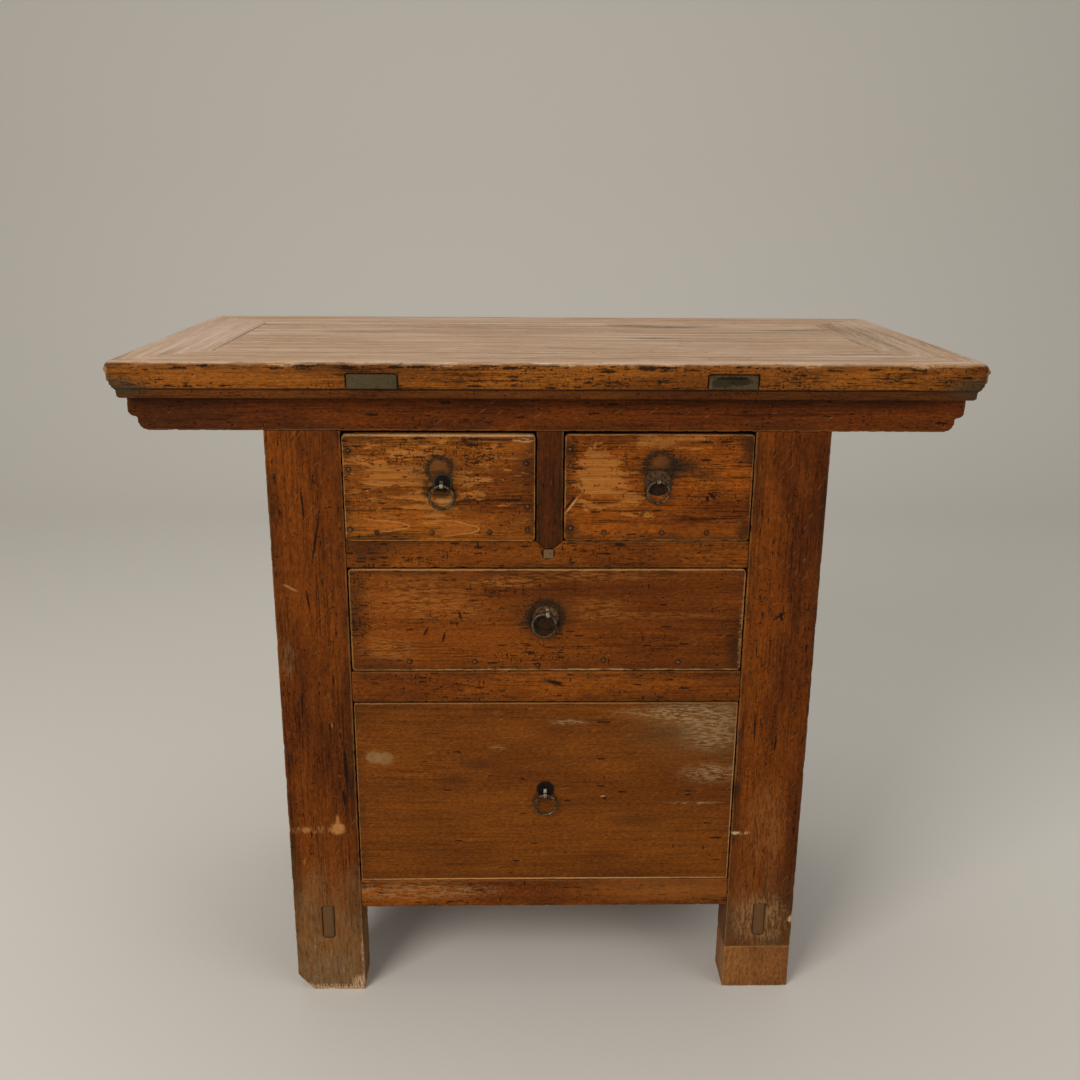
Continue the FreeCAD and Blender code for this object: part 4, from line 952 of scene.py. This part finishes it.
# Painted light: the panel is painted pale along its edges, to lift the shade in the groove where it meets the
# frame.
panel_finish.cover(panel_finish.ramp(panel_finish.edge, 0.003, 0.001), (224, 204, 184), 0.7)
TOP_PANEL = panel_finish.done()
long_finish = top_finish("top_long_finish", "X", 2.0)
end_finish = top_finish("top_end_finish", "Y", 4.0)
for finish in (long_finish, end_finish):
    for x in (-0.492, 0.492):
        finish.mark((x, -0.240, 0.8370), (0.030, 0.03, 0.011), (54, 52, 34), 0.75, ragged=1.2, soft=0.7)
for x, reach in ((-0.12, 0.014), (0.02, 0.010), (0.30, 0.012), (-0.30, 0.02), (0.43, 0.02)):
    long_finish.mark((x, -0.249, 0.8645), (reach, 0.006, 0.004), (198, 162, 122), 0.7, ragged=1.0, flaky=True)
for x, z, across, up in ((0.07, 0.841, 0.022, 0.004), (0.124, 0.842, 0.0025, 0.006), (0.29, 0.848, 0.026, 0.008),
                         (0.40, 0.846, 0.030, 0.006), (-0.10, 0.846, 0.03, 0.004)):
    long_finish.mark((x, -0.245, z), (across, 0.02, up), GOUGE_DARK, 0.85, ragged=1.3, soft=0.4, flaky=True)
TOP_LONG = long_finish.done()
for x, y, across in ((0.462, -0.1915, 0.016), (0.484, -0.1930, 0.013)):
    end_finish.mark((x, y, SURFACE), (across, 0.0010, 0.02), (78, 62, 48), 0.75, ragged=1.5, soft=0.5)
for x, y, across, along, colour, strength, looks in (
        (0.457, 0.155, 0.020, 0.05, (208, 188, 170), 0.7, {"ragged": 0.8, "soft": 0.9, "flaky": True}),
        (0.44, 0.02, 0.030, 0.13, GREEN_STAIN, 0.45, {"ragged": 1.2, "soft": 1.0, "flaky": True}),
        (-0.44, 0.05, 0.045, 0.20, (206, 178, 160), 0.55, {"ragged": 0.8, "soft": 1.0})):
    end_finish.mark((x, y, SURFACE), (across, along, 0.02), colour, strength, **looks)
TOP_END = end_finish.done()
print("top finishes ready")

# %% [markdown]
# ## Wood that was never finished
# Inside the case, at the back and on the drawer sides the wood is as the plane left it, browned by air and
# grey with dust. The ends of the two braces show through the front edge of the top, where the end grain
# took up dirt and turned grey-green.

# %% Unfinished wood
TOP_EDGE = -0.25  # the plane in which the braces' ends show


def raw_finish(name, along, shift, edge_known=False):
    finish = Finish(name, along, shift, edge_known, TOP_EDGE)
    finish.wood((158, 108, 62), (100, 62, 32), spacing=0.012, wander=0.10, rings=0.4)
    finish.cover(finish.streaks, (72, 43, 20), 0.6)
    age = finish.noise((4, 14, 14), 6, 0.62)
    finish.cover(finish.ramp(age, 0.45, 0.70), (78, 46, 22), 0.6)
    finish.cover(finish.ramp(age, 0.46, 0.30), (164, 128, 90), 0.45, 0.85)
    cuts, dents, scratches = finish.group(KNOCKS, Vector=finish.grain_place, Amount=0.22)
    finish.cover(cuts, GOUGE_DARK, 0.7)
    finish.raise_by(cuts, -0.3)
    finish.raise_by(dents, 0.5)
    finish.cover(scratches, (190, 152, 108), 0.5)
    return finish


RAW = raw_finish("raw_wood_finish", "X", 0.0).done()
RAW_SIDE = raw_finish("raw_side_finish", "Y", 3.0).done()
RAW_UPRIGHT = raw_finish("raw_back_finish", "Z", 5.0).done()
brace_finish = raw_finish("brace_finish", "Y", 7.0, edge_known=True)
brace_end = brace_finish.calc("ADD", brace_finish.between("Y", BEYOND, -0.236),
                 brace_finish.between("Y", 0.236, -BEYOND))
brace_finish.cover(brace_end, GREY_END, 0.9, 0.8)
end_grain = noise(brace_finish.tree, brace_finish.place, (420, 420, 420), 3)
end_dirt = brace_finish.calc("MULTIPLY", brace_end, brace_finish.ramp(end_grain, 0.5, 0.7))
brace_finish.cover(end_dirt, (48, 42, 28), 0.7)
brace_finish.marks([
    (0.198, 0.8425, 0.013, 0.0055, (44, 37, 24), 0.85),
    (0.219, 0.8445, 0.012, 0.0050, (36, 30, 20), 0.85),
    (0.208, 0.8480, 0.020, 0.0016, (24, 20, 13), 0.85),
    (0.1830, 0.8430, 0.003, 0.0090, (92, 72, 44), 0.85),
], depth=0.03, ragged=1.3, soft=0.25, dig=0.6)
outline = brace_finish.calc("MULTIPLY", brace_end, brace_finish.ramp(brace_finish.edge, 0.0022, 0.0010))
brace_finish.cover(outline, GOUGE_DARK, 0.85)
BRACE = brace_finish.done()
runner_finish = raw_finish("centre_runner_finish", "Y", 8.0)
runner_end = runner_finish.between("Y", BEYOND, TENON_ENDS)
runner_finish.cover(runner_end, (104, 82, 54), 0.9, 0.7)
RUNNER = runner_finish.done()

# %% [markdown]
# ## Old iron
# Forged iron goes dark brown and keeps a dull shine only where fingers polish it. Rust is rough and does not
# shine at all, so one noise drives three things at once: the colour, the roughness and how metallic the
# surface is.

# %% Iron
def iron_finish(name, bright, dark, rust, rusted):
    finish = Finish(name, "X", 0.0, edge_known=False)
    finish.colour = linear(bright)
    finish.rough = 0.42
    shade = noise(finish.tree, finish.place, (240, 240, 240), 4, 0.6)
    finish.cover(finish.ramp(shade, 0.38, 0.62), dark, 0.9, 0.55)
    patches = noise(finish.tree, finish.place, (150, 150, 150), 5, 0.65, 0.4)
    corroded = finish.ramp(patches, 0.68 - rusted * 0.4, 0.78 - rusted * 0.4)
    finish.cover(corroded, rust, 0.9, 0.85)
    finish.raise_by(shade, 0.2)
    finish.raise_by(patches, 0.25)
    metal = finish.calc("MULTIPLY", finish.calc("SUBTRACT", 1.0, corroded), 0.85)
    finish.tree.links.new(metal, finish.shader.inputs["Metallic"])
    return finish


IRON = iron_finish("forged_iron", (104, 90, 68), (34, 28, 20), (50, 32, 18), 0.3).done(0.5)
STAPLE_IRON = iron_finish("rubbed_iron", (168, 156, 132), (84, 74, 58), (70, 50, 34), 0.2).done(0.5)
NAIL_IRON = iron_finish("nail_iron", (92, 70, 46), (50, 34, 20), (96, 60, 30), 0.6).done(0.4)


def plate_finish(node, name, middle_colour, rim_colour):
    """Corroded iron has no shine left: a rough rim, a middle that keeps its own rust, and a painted shadow of the
    ring.
    """
    low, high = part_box(node)
    middle = [(low[axis] + high[axis]) / 2 for axis in range(3)]
    radius = (high[0] - low[0]) / 2
    finish = Finish(name, "X", 0.0, edge_known=False)
    finish.colour = linear(middle_colour)
    finish.rough = 0.75
    patches = noise(finish.tree, finish.place, (300, 300, 300), 5, 0.65, 0.4)
    finish.cover(finish.ramp(patches, 0.45, 0.62), (26, 18, 12), 0.85)
    finish.mark(middle, (radius * 0.88, 0.02, radius * 0.88), rim_colour, 0.9, ragged=0.5, soft=0.2, rim=True)
    # Painted shadow: a dark round on the plate below the staple, where the hanging ring's shadow falls.
    low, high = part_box(node.replace("_plate", "_ring"))
    ring_shadow_centre = ((low[0] + high[0]) / 2, middle[1], (low[2] + high[2]) / 2)
    reach = (high[0] - low[0]) / 2 * 0.85
    finish.mark(ring_shadow_centre, (reach, 0.02, reach), (30, 15, 7), 0.85, ragged=0.6, soft=0.3)
    finish.raise_by(patches, 0.4)
    return finish.done(0.1)


print("iron ready")

# %% [markdown]
# ## Dress the boards
# Every wooden piece that shows gets its weathered copy. The voxel size sets the softness of its arrises:
# fine on the fronts, coarser on the large boards. The seed moves the noise, so that no two boards are nicked
# alike. What stays hidden keeps its solid and gets a finish only.

# %% Boards of the case
for number, node in enumerate(("leg_front_left", "leg_front_right", "leg_back_left", "leg_back_right")):
    weathered(node, LEG, voxel=0.0022, keep=0.35, nick=0.0016, reach=0.006, seed=number * 3.1, foot=0.03)
weathered("foot_block", REPAIR, voxel=0.0018, keep=0.5, nick=0.0012)
for number, node in enumerate(("rail_lower", "rail_middle", "rail_upper")):
    weathered(node, RAIL, voxel=0.0016, keep=0.4, seed=20 + number * 2.3)
weathered("drawer_divider", DIVIDER, voxel=0.0016, keep=0.5)
weathered("apron_front", APRON, voxel=0.0018, keep=0.4)
weathered("apron_back", APRON, voxel=0.0028, keep=0.4, seed=5)
weathered("side_rails_lower", SIDE_RAIL, voxel=0.0024, keep=0.35)
weathered("side_rails_upper", SIDE_RAIL, voxel=0.0028, keep=0.35)
weathered("side_panel_left", SIDE, voxel=0.003, keep=0.2)
weathered("side_panel_right", SIDE, voxel=0.003, keep=0.2, seed=8)

# %% Boards of the top
for side, finish, voxel, keep, seed in (
        ("front", TOP_LONG, 0.0018, 0.45, 1), ("back", TOP_LONG, 0.0024, 0.35, 4),
        ("left", TOP_END, 0.0018, 0.4, 6), ("right", TOP_END, 0.0018, 0.4, 9)):
    weathered("top_" + side + "_member", finish, voxel, keep, nick=0.0018, reach=0.005, scale=170, seed=seed)
weathered("top_panel", TOP_PANEL, voxel=0.0019, keep=0.12, wave=0.0006, nick=0.0006)
weathered("top_brace_left", BRACE, voxel=0.0018, keep=0.35)
weathered("top_brace_right", BRACE, voxel=0.0018, keep=0.35, seed=3)

# %% Drawer fronts
for drawer, finish, keep, nick, seed in (
        ("drawer_small_left", SMALL_LEFT, 0.45, 0.0012, 11),
        ("drawer_small_right", SMALL_RIGHT, 0.45, 0.0012, 13),
        ("drawer_wide", WIDE, 0.35, 0.0012, 15),
        ("drawer_deep", DEEP, 0.3, 0.0008, 17)):
    weathered(drawer + "_front", finish, voxel=0.0014, keep=keep, nick=nick, reach=0.003, seed=seed)

# %% Boards that keep their solids
for node, solid in frame["nodes"].items():
    if node.endswith(("_plate", "_staple", "_ring", "_nails")):
        finish = IRON
    elif node.endswith("_sides") or node.startswith("runners") or node.startswith("guide"):
        finish = RAW_SIDE
    elif node == "back_panel":
        finish = RAW_UPRIGHT
    elif node == "runner_centre":
        finish = RUNNER
    else:
        finish = RAW
    solid.data.materials.clear()
    solid.data.materials.append(finish)
print("boards dressed")

# %% [markdown]
# ## Rings
# A pull's ring is a short rod that was bent round while hot, so it is never quite even. A curve circle gives
# its path and a second one its section, and Curve to Mesh sweeps the one along the other. Noise then presses
# the surface in by a fraction of a millimetre. The sizes and the place of each ring are read from its solid.

# %% The ring tree
def ring_tree():
    tree, given, result = new_group(
        "Forged Ring", "GeometryNodeTree",
        [
            ("Geometry", "Geometry", None), ("Ring Radius", "Float", 0.014), ("Wire Radius", "Float", 0.0016),
            ("Centre", "Vector", (0.0, 0.0, 0.0)), ("Hammering", "Float", 0.00015), ("Seed", "Float", 0.0),
            ("Material", "Material", None),
        ],
        [("Geometry", "Geometry")],
    )
    path = add(tree, "GeometryNodeCurvePrimitiveCircle", {"Resolution": 96, "Radius": given["Ring Radius"]})
    section = add(tree, "GeometryNodeCurvePrimitiveCircle", {"Resolution": 16, "Radius": given["Wire Radius"]})
    inputs = {"Curve": path.outputs[0], "Profile Curve": section.outputs[0]}
    tube = add(tree, "GeometryNodeCurveToMesh", inputs).outputs[0]
    inputs = {"Geometry": tube, "Translation": given["Centre"], "Rotation": (math.pi / 2, 0.0, 0.0)}
    standing = add(tree, "GeometryNodeTransform", inputs).outputs[0]
    return finish_surface(tree, given, result, standing, given["Hammering"], 160.0)


def finish_surface(tree, given, result, geometry, depth, scale):
    """Press a surface in by noise and end the tree."""
    place = add(tree, "GeometryNodeInputPosition").outputs[0]
    moved = vector_calc(tree, "ADD", place, add(tree, "ShaderNodeCombineXYZ", {0: given["Seed"]}).outputs[0])
    hammered = add(tree, "ShaderNodeTexNoise", {"Vector": moved, "Scale": scale, "Detail": 2.0}).outputs["Fac"]
    pressed = calc(tree, "MULTIPLY", calc(tree, "MULTIPLY", hammered, depth), -1.0)
    inward = scaled(tree, add(tree, "GeometryNodeInputNormal").outputs[0], pressed)
    uneven = add(tree, "GeometryNodeSetPosition", {"Geometry": geometry, "Offset": inward}).outputs[0]
    return end_tree(tree, given, result, uneven)


def grown(name, tree, values, points=()):
    """A piece made by a tree alone, or by a tree on a few points."""
    mesh = bpy.data.meshes.new(name)
    mesh.from_pydata(points, [], [])
    piece = linked(name, mesh)
    modifier = piece.modifiers.new("tree", "NODES")
    modifier.node_group = tree
    set_inputs(modifier, values)
    return settle(piece)


RING_TREE = ring_tree()
DRAWERS = ("drawer_small_left", "drawer_small_right", "drawer_wide", "drawer_deep")
for number, drawer in enumerate(DRAWERS):
    node = drawer + "_pull_ring"
    low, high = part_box(node)
    wire = (high[1] - low[1]) / 2
    ring = grown(drawer + "_ring_forged", RING_TREE, {
        "Ring Radius": (high[0] - low[0]) / 2 - wire, "Wire Radius": wire, "Seed": number * 1.7,
        "Centre": [(low[axis] + high[axis]) / 2 for axis in range(3)], "Material": IRON,
    })
    stand_for(ring, node)

# %% [markdown]
# ## Plates
# Behind each staple lies a round plate cut from thin iron by eye. Two of them are so corroded that their rims
# are eaten away. The tree starts from a cylinder with a fine fan of faces, pulls its rim in by noise that
# depends on the angle alone, and lets a finer noise pit the face.

# %% The plate tree
def plate_tree():
    tree, given, result = new_group(
        "Iron Plate", "GeometryNodeTree",
        [
            ("Geometry", "Geometry", None), ("Radius", "Float", 0.012), ("Thickness", "Float", 0.0012),
            ("Eaten Rim", "Float", 0.1), ("Pit Depth", "Float", 0.0003), ("Centre", "Vector", (0.0, 0.0, 0.0)),
            ("Seed", "Float", 0.0), ("Material", "Material", None),
        ],
        [("Geometry", "Geometry")],
    )
    inputs = {"Vertices": 96, "Side Segments": 2, "Fill Segments": 22, "Radius": given["Radius"],
              "Depth": given["Thickness"]}
    disc = add(tree, "GeometryNodeMeshCylinder", inputs, fill_type="TRIANGLE_FAN").outputs["Mesh"]
    place = add(tree, "GeometryNodeInputPosition").outputs[0]
    flat = vector_calc(tree, "MULTIPLY", place, (1.0, 1.0, 0.0))
    direction = vector_calc(tree, "NORMALIZE", flat)
    seeded = vector_calc(tree, "ADD", direction, add(tree, "ShaderNodeCombineXYZ", {2: given["Seed"]}).outputs[0])
    eaten = noise(tree, seeded, (1.7, 1.7, 1.7), 4, 0.65)
    shrink = calc(tree, "MULTIPLY", calc(tree, "MULTIPLY", eaten, given["Eaten Rim"]), -1.0)
    offset = scaled(tree, flat, shrink)
    ragged = add(tree, "GeometryNodeSetPosition", {"Geometry": disc, "Offset": offset}).outputs[0]
    inputs = {"Geometry": ragged, "Translation": given["Centre"], "Rotation": (math.pi / 2, 0.0, 0.0)}
    standing = add(tree, "GeometryNodeTransform", inputs).outputs[0]
    return finish_surface(tree, given, result, standing, given["Pit Depth"], 420.0)


PLATE_TREE = plate_tree()
PLATE_LOOKS = {
    "drawer_small_left": ((16, 10, 6), (56, 50, 36), 0.08),
    "drawer_small_right": ((86, 58, 36), (44, 43, 30), 0.22),
    "drawer_wide": ((104, 70, 42), (38, 36, 24), 0.22),
    "drawer_deep": ((12, 7, 4), (30, 19, 10), 0.04),
}
for number, (drawer, (inner, rim, eaten)) in enumerate(PLATE_LOOKS.items()):
    node = drawer + "_pull_plate"
    low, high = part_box(node)
    plate = grown(drawer + "_plate_iron", PLATE_TREE, {
        "Radius": (high[0] - low[0]) / 2, "Thickness": high[1] - low[1], "Eaten Rim": eaten, "Seed": number * 2.9,
        "Pit Depth": 0.0005, "Centre": [(low[axis] + high[axis]) / 2 for axis in range(3)],
        "Material": plate_finish(node, drawer + "_plate_finish", inner, rim),
    })
    stand_for(plate, node)

# %% [markdown]
# ## Nails
# The fronts of three drawers are held by wrought nails. A tree puts one head and shank on each point, turns
# every head by its own angle and makes some larger than others, as a smith would. All nails of a drawer come
# out as one mesh, because they never move against each other.

# %% The nail tree
def nail_tree():
    tree, given, result = new_group(
        "Wrought Nails", "GeometryNodeTree",
        [
            ("Geometry", "Geometry", None), ("Head Radius", "Float", 0.0027), ("Head Height", "Float", 0.0012),
            ("Shank Length", "Float", 0.015), ("Hammering", "Float", 0.0003), ("Seed", "Float", 0.0),
            ("Material", "Material", None),
        ],
        [("Geometry", "Geometry")],
    )
    inputs = {"Vertices": 10, "Side Segments": 2, "Fill Segments": 2,
              "Radius Top": calc(tree, "MULTIPLY", given["Head Radius"], 0.45),
              "Radius Bottom": given["Head Radius"], "Depth": given["Head Height"]}
    head = add(tree, "GeometryNodeMeshCone", inputs, fill_type="TRIANGLE_FAN").outputs["Mesh"]
    inputs = {"Vertices": 6, "Radius": calc(tree, "MULTIPLY", given["Head Radius"], 0.4),
              "Depth": given["Shank Length"]}
    shank = add(tree, "GeometryNodeMeshCylinder", inputs).outputs["Mesh"]
    sink = add(tree, "ShaderNodeCombineXYZ", {2: calc(tree, "MULTIPLY", given["Shank Length"], -0.5)}).outputs[0]
    shank = add(tree, "GeometryNodeTransform", {"Geometry": shank, "Translation": sink}).outputs[0]
    join = tree.nodes.new("GeometryNodeJoinGeometry")
    tree.links.new(head, join.inputs[0])
    tree.links.new(shank, join.inputs[0])
    inputs = {"Geometry": join.outputs[0], "Rotation": (math.pi / 2, 0.0, 0.0)}
    nail = add(tree, "GeometryNodeTransform", inputs).outputs[0]
    turn = add(tree, "FunctionNodeRandomValue", {0: (0.0, -3.14, 0.0), 1: (0.0, 3.14, 0.0)},
               data_type="FLOAT_VECTOR").outputs[0]
    size = add(tree, "FunctionNodeRandomValue", {2: 0.8, 3: 1.0, "Seed": 7}, data_type="FLOAT").outputs[1]
    inputs = {"Points": given["Geometry"], "Instance": nail, "Rotation": turn, "Scale": size}
    nails = add(tree, "GeometryNodeInstanceOnPoints", inputs).outputs[0]
    return finish_surface(tree, given, result, nails, given["Hammering"], 500.0)


NAIL_TREE = nail_tree()
HEAD_HEIGHT = 0.0014
for number, drawer in enumerate(DRAWERS[:3]):
    node = drawer + "_nails"
    points = [(x, y + HEAD_HEIGHT / 2, z) for x, y, z in nail_places(node)]
    nails = grown(drawer + "_nails_wrought", NAIL_TREE, {
        "Head Height": HEAD_HEIGHT, "Seed": number * 5.3, "Material": NAIL_IRON,
    }, points)
    stand_for(nails, node)
    print(len(points), "nails")

# %% [markdown]
# ## Staples
# Each ring hangs in a staple: a strip folded double, with an eye at its end. Its solid has the right folds,
# so the weathering tree is enough here, with a voxel small enough to keep the eye open.

# %% Staples
for number, drawer in enumerate(DRAWERS):
    weathered(drawer + "_pull_staple", STAPLE_IRON, voxel=0.0004, keep=0.5, wave=0.0001, nick=0.0002,
              reach=0.0006, scale=600, seed=number)

# %% [markdown]
# ## Floor, light and camera
# A floor that curves up into the backdrop gives an even pale ground with no horizon. One large soft light
# stands to the left and in front, a weaker one to the right, and a pale world fills the shadows. The camera
# stands where the photographer stood: 1.3 m from the front, a little left of the middle, just above the top,
# looking down by 17 degrees.

# %% Floor and backdrop
def studio_floor():
    width = 9.0
    front = -4.0
    back = 2.2
    radius = 1.2
    height = 4.0
    arc_steps = 16
    profile = [(front, 0.0)]
    for step in range(arc_steps + 1):
        angle = math.radians(90 * step / arc_steps)
        profile.append((back + radius * math.sin(angle), radius - radius * math.cos(angle)))
    profile.append((back + radius, height))
    corners = []
    for side in (-width / 2, width / 2):
        corners += [(side, y, z) for y, z in profile]
    count = len(profile)
    faces = [(i, i + count, i + count + 1, i + 1) for i in range(count - 1)]
    mesh = bpy.data.meshes.new("studio_floor")
    mesh.from_pydata(corners, [], faces)
    for polygon in mesh.polygons:
        polygon.use_smooth = True
    material = bpy.data.materials.new("studio_paper")
    material.use_nodes = True
    paper = material.node_tree.nodes["Principled BSDF"]
    paper.inputs["Base Color"].default_value = linear((214, 209, 200))
    paper.inputs["Roughness"].default_value = 0.85
    mesh.materials.append(material)
    floor = linked("studio_floor", mesh)


studio_floor()

# %% Lights
def soft_light(name, place, target, size, watts, tint):
    lamp = bpy.data.lights.new(name, "AREA")
    lamp.shape = "RECTANGLE"
    lamp.size, lamp.size_y = size
    lamp.energy = watts
    lamp.color = tint
    holder = bpy.data.objects.new(name, lamp)
    holder.location = place
    holder.rotation_euler = (Vector(target) - Vector(place)).to_track_quat("-Z", "Y").to_euler()
    bpy.context.scene.collection.objects.link(holder)


middle = (0.0, 0.0, 0.45)
soft_light("window_left", (-1.9, -2.6, 2.3), middle, (1.6, 1.6), 75.0, (1.0, 0.97, 0.93))
soft_light("fill_right", (2.6, -2.2, 1.4), middle, (2.0, 2.0), 22.0, (0.96, 0.98, 1.0))
soft_light("top_glow", (0.0, 0.6, 3.2), middle, (2.4, 2.4), 22.0, (1.0, 1.0, 1.0))
world = bpy.data.worlds.new("studio")
world.use_nodes = True
world.node_tree.nodes["Background"].inputs["Color"].default_value = linear((226, 224, 220))
world.node_tree.nodes["Background"].inputs["Strength"].default_value = 0.45
bpy.context.scene.world = world
bpy.context.scene.view_settings.view_transform = "Standard"

# %% Camera
CAMERA_PLACE = Vector((-0.0397, -1.5355, 1.0471))
LOOK_DOWN = math.radians(16.934)
LOOK_RIGHT = math.radians(1.296)
LEAN = math.radians(0.410)
FOCAL_PIXELS = 1131.5
FRAME_PIXELS = 1080.0
SENSOR = 36.0


def stand_camera():
    forward = Vector((math.sin(LOOK_RIGHT) * math.cos(LOOK_DOWN), math.cos(LOOK_RIGHT) * math.cos(LOOK_DOWN),
                      -math.sin(LOOK_DOWN)))
    level = Vector((math.cos(LOOK_RIGHT), -math.sin(LOOK_RIGHT), 0.0))
    upward = level.cross(forward)
    right = level * math.cos(LEAN) + upward * math.sin(LEAN)
    up = upward * math.cos(LEAN) - level * math.sin(LEAN)
    data = bpy.data.cameras.new("camera")
    data.lens = FOCAL_PIXELS / FRAME_PIXELS * SENSOR
    data.sensor_width = SENSOR
    camera = bpy.data.objects.new("camera", data)
    bpy.context.scene.collection.objects.link(camera)
    camera.matrix_world = Matrix((right, up, -forward)).transposed().to_4x4()
    camera.location = CAMERA_PLACE
    bpy.context.scene.camera = camera
    print("camera lens", round(data.lens, 2), "mm")


stand_camera()
